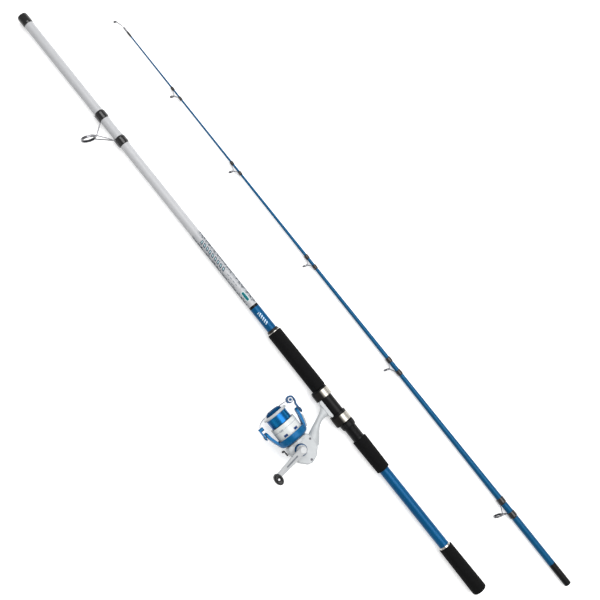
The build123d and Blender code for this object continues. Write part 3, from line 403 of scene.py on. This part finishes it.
def butt_paint():
    """The butt blank: blue over the handle, pearl white above, and a printed stretch."""
    material, tree, shader = surface(
        "butt_paint", Coat_Weight=0.06, Coat_Roughness=0.08, Specular_IOR_Level=0.15
    )
    along, angle = round_axis(tree, ROD_AXIS)
    around = product(tree, angle, PAINT_RADIUS)
    slant = calc(tree, "ADD", along, product(tree, around, MARK_SLANT))
    flakes = cells(tree, 0.12 * MM)
    drift = cloud(tree, 25 * MM, (0.35, 1, 1))
    tone = calc(tree, "ADD", product(tree, flakes, 0.4), product(tree, drift, 0.6))
    blue = blend_colour(tree, tone, srgb(0, 54, 94), srgb(0, 94, 144))
    pearl = blend_colour(tree, tone, srgb(172, 173, 176), srgb(194, 195, 197))
    is_blue = calc(tree, "SUBTRACT", 1.0, between(tree, along, *WHITE_PART, 0.1 * MM))
    colour = blend_colour(tree, is_blue, pearl, blue)
    printed = between(tree, along, *PRINTED_PART, 3 * MM)
    # printed specks, and painted shade towards the sides of the tube
    colour = print_specks_and_side_shade(tree, colour, around, printed)
    colour = printed_marks(tree, colour, along, around, slant)
    ticks = product(
        tree,
        between(tree, repeating(tree, slant, TICK_PITCH), 0.1, 0.6, 0.03),
        between(tree, around, -2.8 * MM, 2.8 * MM, PRINT_BLUR),
        between(tree, along, *TICK_RUN, 0.1 * MM),
        0.85,
    )
    colour = blend_colour(tree, ticks, colour, srgb(206, 224, 236))
    for start, end, paint in BLACK_RINGS:
        colour = blend_colour(tree, between(tree, along, start, end, 0.15 * MM), colour, paint)
    link(tree, colour, shader, "Base Color")
    link(tree, spread(tree, is_blue, 0.05, 0.3), shader, "Metallic")
    link(tree, spread(tree, cloud(tree, 8 * MM), 0.36, 0.48), shader, "Roughness")
    link(tree, bump(tree, flakes, 0.004 * MM), shader, "Normal")
    link(tree, bump(tree, cloud(tree, 4 * MM), 0.03 * MM), shader, "Coat Normal")
    return material


# ---- marks round the spool skirt: places along the rod, and sizes ----
SKIRT_MARK_RADIUS = 23.2 * MM
SKIRT_LINE = (423.5 * MM, 424.3 * MM)
SKIRT_STROKES = (421.9 * MM, 425.7 * MM)
SKIRT_STROKE_RUN = (4.0 * MM, 11.0 * MM)
SKIRT_DARK_EDGE = (431.7 * MM, 433.0 * MM)


def skirt_paint():
    """White spool skirt with a thin broken line, a few strokes and a dark front edge."""
    material, tree, shader = surface(
        "skirt_paint", Coat_Weight=0.4, Coat_Roughness=0.06, Specular_IOR_Level=0.3
    )
    along, angle = round_axis(tree, SPOOL_AXIS)
    around = product(tree, angle, SKIRT_MARK_RADIUS)
    colour = blend_colour(tree, cloud(tree, 8 * MM), srgb(198, 202, 202), srgb(222, 225, 223))
    dashes = product(
        tree,
        between(tree, along, *SKIRT_LINE, 0.06 * MM),
        between(tree, repeating(tree, around, 3.1 * MM), 0.16, 0.7, 0.04),
    )
    colour = blend_colour(tree, dashes, colour, srgb(88, 104, 126))
    strokes = product(
        tree,
        between(tree, along, *SKIRT_STROKES, 0.06 * MM),
        between(tree, repeating(tree, around, 1.9 * MM), 0.2, 0.55, 0.05),
        between(tree, around, *SKIRT_STROKE_RUN, 0.08 * MM),
    )
    colour = blend_colour(tree, strokes, colour, srgb(58, 72, 96))
    edge = between(tree, along, *SKIRT_DARK_EDGE, 0.05 * MM)
    colour = blend_colour(tree, edge, colour, srgb(22, 32, 48))
    link(tree, colour, shader, "Base Color")
    link(tree, spread(tree, cloud(tree, 5 * MM), 0.28, 0.4), shader, "Roughness")
    link(tree, bump(tree, cloud(tree, 1.4 * MM), 0.012 * MM), shader, "Coat Normal")
    return material


def turned_blue():
    """Anodised spool arbor: blue metal with tool lines, and light and dark streaks round it painted as
    highlight and shade.
    """
    material, tree, shader = surface("turned_blue", Metallic=0.75)
    lines = cloud(tree, 0.09 * MM, (1, 0.01, 0.01), 4.0)
    _, angle = round_axis(tree, SPOOL_AXIS)
    highlight_streak_count = 4.0
    # Painted highlight and shade: light and dark streaks round the arbor's axis.
    painted_highlight_streak = spread(tree, calc(tree, "SINE", product(tree, angle, highlight_streak_count)), 0.25, 0.85, -1.0, 1.0)
    tone = calc(tree, "ADD", product(tree, lines, 0.3), product(tree, painted_highlight_streak, 0.7))
    link(tree, blend_colour(tree, tone, srgb(0, 50, 122), srgb(4, 132, 192)), shader, "Base Color")
    link(tree, spread(tree, lines, 0.2, 0.36), shader, "Roughness")
    link(tree, bump(tree, lines, 0.01 * MM), shader, "Normal")
    return material


WHITE = (srgb(166, 170, 172), srgb(192, 195, 197))
BLUE = (srgb(0, 68, 116), srgb(0, 108, 162))
TIP_BLUE = (srgb(0, 62, 100), srgb(0, 90, 134))
MATERIALS = {
    "grip_foam": foam(),
    "butt_paint": butt_paint(),
    "tip_paint": painted("tip_paint", *TIP_BLUE, 0.3, 0.42, flake=0.12 * MM, coat=0.03),
    "seat_black": moulded("seat_black", srgb(8, 8, 9), srgb(20, 20, 21), 0.42, gloss=0.16),
    "hood_metal": hood_cover(),
    "check_light": metal("check_light", srgb(170, 168, 164), srgb(224, 220, 212), 0.3, turned=True),
    "wrap_black": thread_and_epoxy(),
    "guide_wire": metal("guide_wire", srgb(98, 98, 102), srgb(172, 172, 176), 0.24, grain=0.2 * MM),
    "guide_ceramic": moulded("guide_ceramic", srgb(24, 25, 28), srgb(46, 48, 54), 0.16, 0.5 * MM, 0.002 * MM),
    "reel_white": painted("reel_white", *WHITE, 0.0),
    "skirt_white": skirt_paint(),
    "crank_grey": painted("crank_grey", srgb(164, 166, 168), srgb(188, 190, 191), 0.1),
    "rotor_blue": painted("rotor_blue", *BLUE, 0.3, 0.42, coat=0.06),
    "bail_blue": painted("bail_blue", srgb(0, 40, 74), srgb(2, 76, 122), 0.3, 0.42, coat=0.05),
    "spool_blue": turned_blue(),
    "drag_blue": moulded("drag_blue", srgb(0, 48, 88), srgb(2, 74, 122), 0.5, gloss=0.05),
    "steel": metal("steel", srgb(150, 150, 154), srgb(214, 214, 216), 0.26, grain=0.12 * MM),
    "dark_screw": metal("dark_screw", srgb(44, 44, 48), srgb(98, 98, 102), 0.32, grain=0.12 * MM),
    "brass": metal("brass", srgb(178, 138, 66), srgb(226, 190, 112), 0.28, turned=True),
    "zinc": metal("zinc", srgb(120, 122, 126), srgb(166, 168, 172), 0.46, grain=0.4 * MM),
    "felt": moulded("felt", srgb(122, 108, 84), srgb(160, 146, 120), 0.92, 0.12 * MM, 0.08 * MM),
    "knob_rubber": moulded("knob_rubber", srgb(6, 6, 7), srgb(18, 18, 20), 0.34, 0.35 * MM, 0.02 * MM, 0.32),
    "black_plastic": moulded("black_plastic", srgb(10, 10, 11), srgb(26, 26, 28), 0.4),
    "roller_metal": metal("roller_metal", srgb(92, 94, 98), srgb(150, 152, 156), 0.24, grain=0.3 * MM),
    "mark_blue": moulded("mark_blue", srgb(10, 36, 84), srgb(26, 66, 128), 0.3),
    # painted shade for the crank's groove
    "groove_shade_grey": moulded("groove_shade_grey", srgb(92, 96, 102), srgb(128, 132, 138), 0.5),
}
NODE_LOOKS = {
    "butt_paint": ["butt_blank"],
    "tip_paint": ["tip_blank"],
    "seat_black": ["reel_seat", "sliding_hood", "lock_nut", "spigot"],
    "hood_metal": ["front_hood_cover", "rear_hood_cover"],
    "check_light": ["butt_grip_check"],
    "guide_wire": ["stripper_guide_frame", "tip_guide_frames", "tip_top_frame"],
    "guide_ceramic": ["tip_top_ring"],
    "reel_white": ["reel_body", "side_cover", "shaft_cap", "rotor_arm_cover"],
    "crank_grey": ["crank_arm"],
    "rotor_blue": ["rotor", "bail_lever"],
    "bail_blue": ["bail_arm", "trim_ring"],
    "drag_blue": ["drag_knob"],
    "steel": [
        "main_shaft",
        "pinion_bearing",
        "drive_shaft_bearings",
        "one_way_clutch",
        "bail_spring",
        "drag_spring",
        "drag_steel_washers",
        "bail_wire",
        "knob_spindle",
        "knob_screw",
    ],
    "dark_screw": ["cover_screws", "bail_pivot_screws"],
    "brass": ["rotor_nut", "pinion_gear"],
    "zinc": ["drive_gear"],
    "felt": ["drag_felt_washers"],
    "black_plastic": ["anti_reverse_lever", "oscillation_gear", "oscillation_slider", "spool_washer"],
    "roller_metal": ["line_roller"],
}
for look, names in NODE_LOOKS.items():
    for name in names:
        NODES[name].data.materials.clear()
        NODES[name].data.materials.append(MATERIALS[look])


# ======== pieces made here ========
def add_piece(name, points, faces, look, body, sharp=40.0):
    """A mesh piece with its faces turned outward, smooth but for edges sharper than an angle."""
    mesh = bpy.data.meshes.new(name)
    mesh.from_pydata([tuple(point) for point in points], [], faces)
    outward = bmesh.new()
    outward.from_mesh(mesh)
    bmesh.ops.recalc_face_normals(outward, faces=outward.faces)
    outward.to_mesh(mesh)
    outward.free()
    mesh.materials.append(MATERIALS[look])
    mesh.shade_smooth()
    mesh.set_sharp_from_angle(angle=radians(sharp))
    mesh.validate()
    piece = bpy.data.objects.new(name, mesh)
    bpy.context.scene.collection.objects.link(piece)
    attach(piece, body)
    return piece


def softened(outline, sizes, steps=5):
    """An outline with some corners rounded: sizes is {corner number: size}."""
    made = []
    for number, corner in enumerate(outline):
        here = Vector(corner)
        size = sizes.get(number, 0.0)
        if size == 0.0:
            made.append(here)
            continue
        back = (Vector(outline[number - 1]) - here).normalized() * size
        ahead = (Vector(outline[(number + 1) % len(outline)]) - here).normalized() * size
        for step in range(steps + 1):
            share = step / steps
            made.append(here + back * (1 - share) ** 2 + ahead * share**2)
    return made


def divided(outline, longest):
    """An outline with its long runs cut into even steps."""
    made = []
    for first, second in zip(outline, outline[1:] + outline[:1]):
        first, second = Vector(first), Vector(second)
        count = max(1, round((second - first).length / longest))
        made.extend(first + (second - first) * step / count for step in range(count))
    return made


def closed_grid(rows, columns):
    """Faces over rows and columns of points, both of which close on themselves."""
    faces = []
    for row in range(rows):
        next_row = (row + 1) % rows
        for column in range(columns):
            beside = (column + 1) % columns
            faces.append(
                (
                    row * columns + column,
                    next_row * columns + column,
                    next_row * columns + beside,
                    row * columns + beside,
                )
            )
    return faces


def turn(outline, centre, axis=X, radial=OUT, steps=96, dip=None):
    """Points and faces of a closed outline of (along, radius) turned round an axis."""
    across = axis.cross(radial)
    points = []
    for step in range(steps):
        angle = 2 * pi * step / steps
        direction = radial * cos(angle) + across * sin(angle)
        for along, radius in outline:
            point = centre + axis * along + direction * radius
            points.append(point - direction * dip(point) if dip else point)
    return points, closed_grid(steps, len(outline))


def stand_in(piece, cad_node):
    """A piece stands for a CAD node, which is hidden."""
    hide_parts(cad_node)


def turned_piece(name, outline, centre, look, body, **options):
    """A piece turned from its outline."""
    points, faces = turn(outline, centre, **options)
    return add_piece(name, points, faces, look, body)


def turned_set(name, cad_node, turned, look, body):
    """Several turned shapes in one piece, which stands for one CAD node."""
    points, faces = [], []
    for more_points, more_faces in turned:
        faces.extend(tuple(len(points) + corner for corner in face) for face in more_faces)
        points.extend(more_points)
    stand_in(add_piece(name, points, faces, look, body), cad_node)


# ---- foam grips ----
ROOT = "rod_and_reel_body"
PIN_HOLE = 0.4 * MM
FOAM_DIP = 0.05 * MM
BROAD_LUMPS, FINE_LUMPS = 110, 420  # in a metre


def foam_skin(point):
    """Slight dips in a foam surface, in metres."""
    lumps = noise.noise(point * BROAD_LUMPS) + 0.5 * noise.noise(point * FINE_LUMPS)
    return FOAM_DIP * (1.2 + lumps)


def foam_grip(grip, first, last, ends):
    """A foam sleeve over the blank, with rounded ends and a slightly uneven skin."""
    low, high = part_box(grip)
    start, end = low.x, high.x
    inner = [blank_radius(start) + GLUE_GAP, blank_radius(end) + GLUE_GAP]
    covers_butt_end = start < MM
    if covers_butt_end:
        inner[0] = PIN_HOLE
    outline = [(start, inner[0]), (start, first), (end, last), (end, inner[1])]
    outline = softened(outline, {1: ends[0], 2: ends[1]})
    outline = divided([tuple(point) for point in outline], 1.5 * MM)
    piece = turned_piece(f"{grip}_foam", outline, ROD_AXIS, "grip_foam", ROOT, dip=foam_skin)
    stand_in(piece, grip)


# first radius, last radius, and the rounding of the two ends
foam_grip("butt_grip", 13.2 * MM, 12.1 * MM, (4.0 * MM, 1.4 * MM))
foam_grip("rear_grip", 12.1 * MM, 13.1 * MM, (1.2 * MM, 1.6 * MM))
foam_grip("fore_grip", 13.2 * MM, 12.8 * MM, (1.6 * MM, 1.6 * MM))


# ---- thread wraps ----
WRAP_EDGE = 0.12 * MM
WRAP_STEPS = 28


def wrap(start, end, rise, radius_at, centre):
    """A lacquered wrap: low feathered ends and a full middle."""
    outline = [(start, radius_at(start) + GLUE_GAP)]
    for step in range(WRAP_STEPS + 1):
        share = step / WRAP_STEPS
        along = start + (end - start) * share
        swell = min(1.0, sin(pi * share) * 1.9)
        outline.append((along, radius_at(along) + WRAP_EDGE + (rise - WRAP_EDGE) * swell**0.8))
    outline.append((end, radius_at(end) + GLUE_GAP))
    return turn(outline, centre, steps=64)


def wraps(piece_name, cad_node, spans, rise, on_tip=False):
    """All the wraps that stand for one CAD node, on the butt blank or on the tip blank."""
    on_butt_blank = (blank_radius, ROD_AXIS, ROOT)
    on_tip_blank = (tip_radius, TIP_AXIS, "tip_section")
    radius_at, centre, body = on_tip_blank if on_tip else on_butt_blank
    turned = [wrap(start, end, rise, radius_at, centre) for start, end in spans]
    turned_set(piece_name, cad_node, turned, "wrap_black", body)


def guide_spans(guides):
    """Start and end of every wrap over the feet of some guides."""
    spans = []
    for front, rear, _, _, _, length in guides:
        for middle in (front, rear):
            spans.append(((middle - length / 2) * MM, (middle + length / 2) * MM))
    return spans


ferrule = [edge.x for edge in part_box("ferrule_wrap")]
top_wrap = [edge.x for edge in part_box("tip_top_wrap")]
wraps("stripper_wraps", "stripper_guide_wraps", guide_spans([STRIPPER]), 1.45 * MM)
wraps("ferrule_whipping", "ferrule_wrap", [ferrule], 0.85 * MM)
wraps("tip_wraps", "tip_guide_wraps", guide_spans(TIP_GUIDES), 0.93 * MM, on_tip=True)
wraps("tip_top_whipping", "tip_top_wrap", [top_wrap], 0.55 * MM, on_tip=True)

# ---- winding check, with a light ring next to the grip ----
CHECK_RADIUS = 11.4 * MM
LIGHT_RING = 1.2 * MM
check_low, check_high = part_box("winding_check")
check_outline = [
    (check_low.x, blank_radius(check_low.x) + GLUE_GAP),
    (check_low.x, CHECK_RADIUS),
    (check_low.x + LIGHT_RING, CHECK_RADIUS),
    (check_low.x + LIGHT_RING + 0.4 * MM, CHECK_RADIUS - 0.4 * MM),
    (check_high.x, 9.8 * MM),
    (check_high.x, blank_radius(check_high.x) + GLUE_GAP),
]
check_outline = softened(check_outline, {1: 0.5 * MM, 2: 0.3 * MM, 3: 0.2 * MM, 4: 0.6 * MM})
check = turned_piece("winding_check_ring", check_outline, ROD_AXIS, "black_plastic", ROOT)
check.data.materials.append(MATERIALS["check_light"])
for face in check.data.polygons:
    face.material_index = int(face.center.x < check_low.x + LIGHT_RING + 0.1 * MM)
stand_in(check, "winding_check")


# ---- guide rings ----
def ceramic_ring(guide, centre, out, side):
    """Points and faces of a ceramic ring with a round, polished bore."""
    _, _, ring_along, ring_out, radius, _ = guide
    outer = 0.915 * radius - 0.25
    depth = 0.10 * radius + 0.75
    thickness = 0.11 * radius + 0.35
    seat = outer - 0.02
    outline = [(-depth * MM, seat * MM)]
    for step in range(13):
        angle = pi * step / 12
        bore = outer - thickness * (0.55 + 0.45 * sin(angle))
        outline.append((-depth * cos(angle) * MM, bore * MM))
    outline.append((depth * MM, seat * MM))
    normal = X * cos(GUIDE_LEAN) - out * sin(GUIDE_LEAN)
    middle = centre + X * ring_along * MM + out * ring_out * MM
    return turn(outline, middle, axis=normal, radial=side, steps=72)


stripper_ring = [ceramic_ring(STRIPPER, ROD_AXIS, OUT, SIDE)]
tip_rings = [ceramic_ring(guide, TIP_AXIS, TIP_OUT, TIP_SIDE) for guide in TIP_GUIDES]
turned_set("stripper_ring", "stripper_guide_ring", stripper_ring, "guide_ceramic", ROOT)
turned_set("tip_rings", "tip_guide_rings", tip_rings, "guide_ceramic", "tip_section")


# ---- spool: outlines are places along the rod, and radii ----
def spool_piece(name, outline, look):
    """A piece turned round the spool's axis, in fine steps."""
    return turned_piece(name, outline, SPOOL_AXIS, look, "spool", steps=160)


skirt_low, skirt_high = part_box("spool_skirt")
SKIRT_RADIUS = (skirt_high.y - skirt_low.y) / 2
SKIRT_BORE = 21.7 * MM
ARBOR_HOLE = 19.52 * MM
SKIRT_FLOOR = 430.4 * MM
SKIRT_SHOULDER = 431.9 * MM
skirt_outline = [
    (skirt_low.x, SKIRT_BORE),
    (skirt_low.x, SKIRT_RADIUS),
    (SKIRT_SHOULDER, SKIRT_RADIUS),
    (skirt_high.x, 22.4 * MM),
    (skirt_high.x, ARBOR_HOLE),
    (SKIRT_FLOOR, ARBOR_HOLE),
    (SKIRT_FLOOR, SKIRT_BORE),
]
skirt_outline = softened(skirt_outline, {1: 0.4 * MM, 2: 0.3 * MM, 3: 0.4 * MM})
stand_in(spool_piece("spool_skirt_shell", skirt_outline, "skirt_white"), "spool_skirt")

lip_low, lip_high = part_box("spool_lip")
LIP_BORE = 15.3 * MM
LIP_RADIUS = 22.6 * MM
lip_outline = [
    (lip_low.x, LIP_BORE),
    (lip_low.x, 21.2 * MM),
    (450.2 * MM, LIP_RADIUS),
    (452.0 * MM, LIP_RADIUS),
    (lip_high.x, 20.4 * MM),
    (lip_high.x, 16.4 * MM),
    (452.6 * MM, LIP_BORE),
]
lip_outline = softened(lip_outline, {1: 0.4 * MM, 2: 0.8 * MM, 3: 0.9 * MM, 4: 0.8 * MM, 5: 0.5 * MM})
stand_in(spool_piece("spool_lip_ring", lip_outline, "reel_white"), "spool_lip")

SHAFT_BORE = 1.85 * MM
HUB_RADIUS = 5.0 * MM
BARREL_BORE = 17.5 * MM
BARREL_RADIUS = 19.5 * MM
HUB_START, HUB_END = 426.9 * MM, 446.5 * MM
WEB_START, WEB_END = 433.0 * MM, 435.9 * MM
BARREL_START, BARREL_END = 427.6 * MM, 449.0 * MM
GROOVES_START, GROOVES_LENGTH, GROOVE_COUNT = 432.8 * MM, 16.1 * MM, 30
arbor_outline = [
    (HUB_START, SHAFT_BORE),
    (HUB_START, HUB_RADIUS),
    (WEB_START, HUB_RADIUS),
    (WEB_START, BARREL_BORE),
    (BARREL_START, BARREL_BORE),
    (BARREL_START, BARREL_RADIUS),
]
for groove in range(GROOVE_COUNT + 1):
    share = groove / GROOVE_COUNT
    ripple = 0.04 * MM * (groove % 2)
    arbor_outline.append((GROOVES_START + share * GROOVES_LENGTH, BARREL_RADIUS - ripple))
arbor_outline += [
    (BARREL_END, BARREL_RADIUS - 0.05 * MM),
    (BARREL_END, BARREL_BORE),
    (WEB_END, BARREL_BORE),
    (WEB_END, HUB_RADIUS),
    (HUB_END, HUB_RADIUS),
    (HUB_END, SHAFT_BORE),
]
stand_in(spool_piece("spool_arbor_turned", arbor_outline, "spool_blue"), "spool_arbor")

CLIP_ALONG = 413.5 * MM
CLIP_LENGTH = 4.0 * MM
CLIP_WIDTH = 7.5 * MM
CLIP_SUNK = -0.1 * MM
CLIP_PROUD = 0.22 * MM
CLIP_EASE = 0.06 * MM


def skirt_clip(name, middle):
    """A thin plate bent round the skirt, with its edges eased."""
    columns, rows = 14, 6
    points, faces = [], []
    for layer, lift in enumerate((CLIP_SUNK, CLIP_PROUD)):
        for row in range(rows + 1):
            for column in range(columns + 1):
                across = (column / columns - 0.5) * CLIP_WIDTH
                down = (row / rows - 0.5) * CLIP_LENGTH
                on_edge = row in (0, rows) or column in (0, columns)
                angle = middle + across / SKIRT_RADIUS
                radius = SKIRT_RADIUS + lift - (CLIP_EASE if on_edge and layer else 0.0)
                direction = SIDE * cos(angle) + OUT * sin(angle)
                points.append(SPOOL_AXIS + X * (CLIP_ALONG + down) + direction * radius)
    count = (rows + 1) * (columns + 1)
    for row in range(rows):
        for column in range(columns):
            corner = row * (columns + 1) + column
            quad = (corner, corner + 1, corner + columns + 2, corner + columns + 1)
            faces.append(tuple(number + count for number in quad))
            faces.append(quad[::-1])
    border = [(0, column) for column in range(columns)]
    border += [(row, columns) for row in range(rows)]
    border += [(rows, column) for column in range(columns, 0, -1)]
    border += [(row, 0) for row in range(rows, 0, -1)]
    rim = [row * (columns + 1) + column for row, column in border]
    for first, second in zip(rim, rim[1:] + rim[:1]):
        faces.append((first, second, second + count, first + count))
    add_piece(name, points, faces, "mark_blue", "spool")


skirt_clip("skirt_clip_upper", radians(28))
skirt_clip("skirt_clip_lower", radians(-25))


# ---- crank knob ----
def smooth_between(stations, share):
    """Values at a share of the way along some stations, on a smooth curve."""
    spot = share * (len(stations) - 1)
    number = min(int(spot), len(stations) - 2)
    rest = spot - number
    before = Vector(stations[max(number - 1, 0)])
    first = Vector(stations[number])
    second = Vector(stations[number + 1])
    after = Vector(stations[min(number + 2, len(stations) - 1)])
    slope_in = (second - before) * 0.5
    slope_out = (after - first) * 0.5
    cube, square = rest**3, rest**2
    return (
        first * (2 * cube - 3 * square + 1)
        + slope_in * (cube - 2 * square + rest)
        + second * (3 * square - 2 * cube)
        + slope_out * (cube - square)
    )


KNOB_AXIS = joint_place("knob_turn")
KNOB_START = 61.8 * MM
KNOB_STEPS = 72
CURVE_STEPS = 56
RIB_COUNT, RIB_DEPTH = 14, 0.012
knob_base = KNOB_AXIS - SIDE * KNOB_AXIS.dot(SIDE)
# rise, long half-width, short half-width
knob_stations = [
    (0.0, 6.2, 4.8),
    (1.2, 6.6, 5.2),
    (7.0, 7.7, 5.7),
    (14.0, 9.9, 6.9),
    (18.5, 10.2, 7.0),
    (22.0, 9.6, 6.7),
    (24.2, 8.4, 5.7),
    (24.9, 7.0, 4.6),
    (24.6, 5.4, 3.9),
    (24.3, 3.2, 3.2),
    (23.9, 3.0, 3.0),
    (22.4, 3.0, 3.0),
]
knob_rings = [smooth_between(knob_stations, step / CURVE_STEPS) for step in range(CURVE_STEPS + 1)]
knob_rings += [Vector((22.4, 1.95, 1.95)), Vector((0.0, 1.95, 1.95))]
knob_points = []
for rise, long_half, short_half in knob_rings:
    ribbed = 4.0 < rise < 17.0
    for step in range(KNOB_STEPS):
        angle = 2 * pi * step / KNOB_STEPS
        rib = 1.0 - RIB_DEPTH * max(0.0, cos(RIB_COUNT * angle)) * ribbed
        flat = X * cos(angle) * long_half * rib + OUT * sin(angle) * short_half * rib
        knob_points.append(knob_base + SIDE * (KNOB_START + rise * MM) + flat * MM)
knob_faces = closed_grid(len(knob_rings), KNOB_STEPS)
knob = add_piece("crank_knob_grip", knob_points, knob_faces, "knob_rubber", "crank_knob", 50.0)
stand_in(knob, "crank_knob")

# ---- painted shade: a dark grey plate laid in the crank's groove ----
CRANK_AXIS = joint_place("crank_turn")
crank_base = CRANK_AXIS - SIDE * CRANK_AXIS.dot(SIDE)
HUB_RISE, ARM_CLIMB = 31.2 * MM, 26.0 * MM
hub = crank_base + SIDE * HUB_RISE
far_end = knob_base + SIDE * (HUB_RISE + ARM_CLIMB)
arm_run = (far_end - hub).normalized()
arm_across = SIDE.cross(arm_run).normalized()
arm_normal = arm_run.cross(arm_across)
GROOVE_SHARE = 0.42
GROOVE_HEIGHTS = (1.68 * MM, 2.0 * MM)
HALF_RUN, HALF_WIDTH, CAP_STEPS = 12.9 * MM, 1.2 * MM, 12
groove_shade_middle = hub + (far_end - hub) * GROOVE_SHARE
groove_shade_points = []
for height in GROOVE_HEIGHTS:
    for end in (1, -1):
        for step in range(CAP_STEPS + 1):
            angle = pi * step / CAP_STEPS - pi / 2
            along = end * (HALF_RUN + HALF_WIDTH * cos(angle))
            across = end * HALF_WIDTH * sin(angle)
            groove_shade_points.append(groove_shade_middle + arm_run * along + arm_across * across + arm_normal * height)
rim = 2 * (CAP_STEPS + 1)
groove_shade_faces = [tuple(range(rim))[::-1], tuple(range(rim, 2 * rim))]
for corner in range(rim):
    other = (corner + 1) % rim
    groove_shade_faces.append((corner, other, rim + other, rim + corner))
groove_shade_plate = add_piece("crank_groove_shade_plate", groove_shade_points, groove_shade_faces, "groove_shade_grey", "crank")

# ======== table, light and camera ========
TABLE_GAP = 0.1 * MM
TABLE_REACH = 6.0
TABLE_GLOW = 0.42
WORLD_LIGHT = 0.35
WHITE_LIGHT = (1.0, 1.0, 1.0, 1.0)
table_material, table_tree, table_shader = surface(
    "table",
    Roughness=0.85,
    Specular_IOR_Level=0.1,
    Emission_Color=WHITE_LIGHT,
    Emission_Strength=TABLE_GLOW,
)
table_tone = blend_colour(table_tree, cloud(table_tree, 0.5), srgb(246, 246, 246), srgb(250, 250, 250))
link(table_tree, table_tone, table_shader, "Base Color")
table_corners = [
    (across * TABLE_REACH, along * TABLE_REACH, cad_low.z - TABLE_GAP)
    for across, along in ((-1, -1), (1, -1), (1, 1), (-1, 1))
]
table_mesh = bpy.data.meshes.new("table")
table_mesh.from_pydata(table_corners, [], [(0, 1, 2, 3)])
table_mesh.materials.append(table_material)
table = bpy.data.objects.new("table", table_mesh)
bpy.context.scene.collection.objects.link(table)

world = bpy.data.worlds.new("studio")
bpy.context.scene.world = world
world.use_nodes = True
background = world.node_tree.nodes["Background"]
background.inputs["Color"].default_value = WHITE_LIGHT
background.inputs["Strength"].default_value = WORLD_LIGHT


def soft_light(name, place, length, width, power):
    """A softbox that faces the middle of the rod, with its length along the rod."""
    data = bpy.data.lights.new(name, "AREA")
    data.shape = "RECTANGLE"
    data.size = length
    data.size_y = width
    data.energy = power
    light = bpy.data.objects.new(name, data)
    back = (Vector(place) - ROD_MIDDLE).normalized()
    upward = back.cross(X).normalized()
    facing = Matrix((X, upward, back)).transposed()
    light.matrix_world = Matrix.Translation(place) @ facing.to_4x4()
    bpy.context.scene.collection.objects.link(light)


ROD_MIDDLE = Vector((0.57, 0.0, 0.0))
soft_light("overhead", (0.57, -1.0, 1.9), 2.8, 1.6, 60.0)
soft_light("reel_side", (0.57, 1.5, 1.1), 2.6, 0.8, 3.0)

CAMERA_PLACE = (0.573, -0.068, 1.436)
VIEW_TURN = radians(231.41)  # from the rod's direction to the right of the view
camera_data = bpy.data.cameras.new("camera")
camera_data.lens = 51.0
camera_data.sensor_width = 36.0
camera = bpy.data.objects.new("camera", camera_data)
bpy.context.scene.collection.objects.link(camera)
camera.matrix_world = Matrix.Translation(CAMERA_PLACE) @ Matrix.Rotation(VIEW_TURN, 4, "Z")
bpy.context.scene.camera = camera
bpy.context.scene.view_settings.view_transform = "Standard"
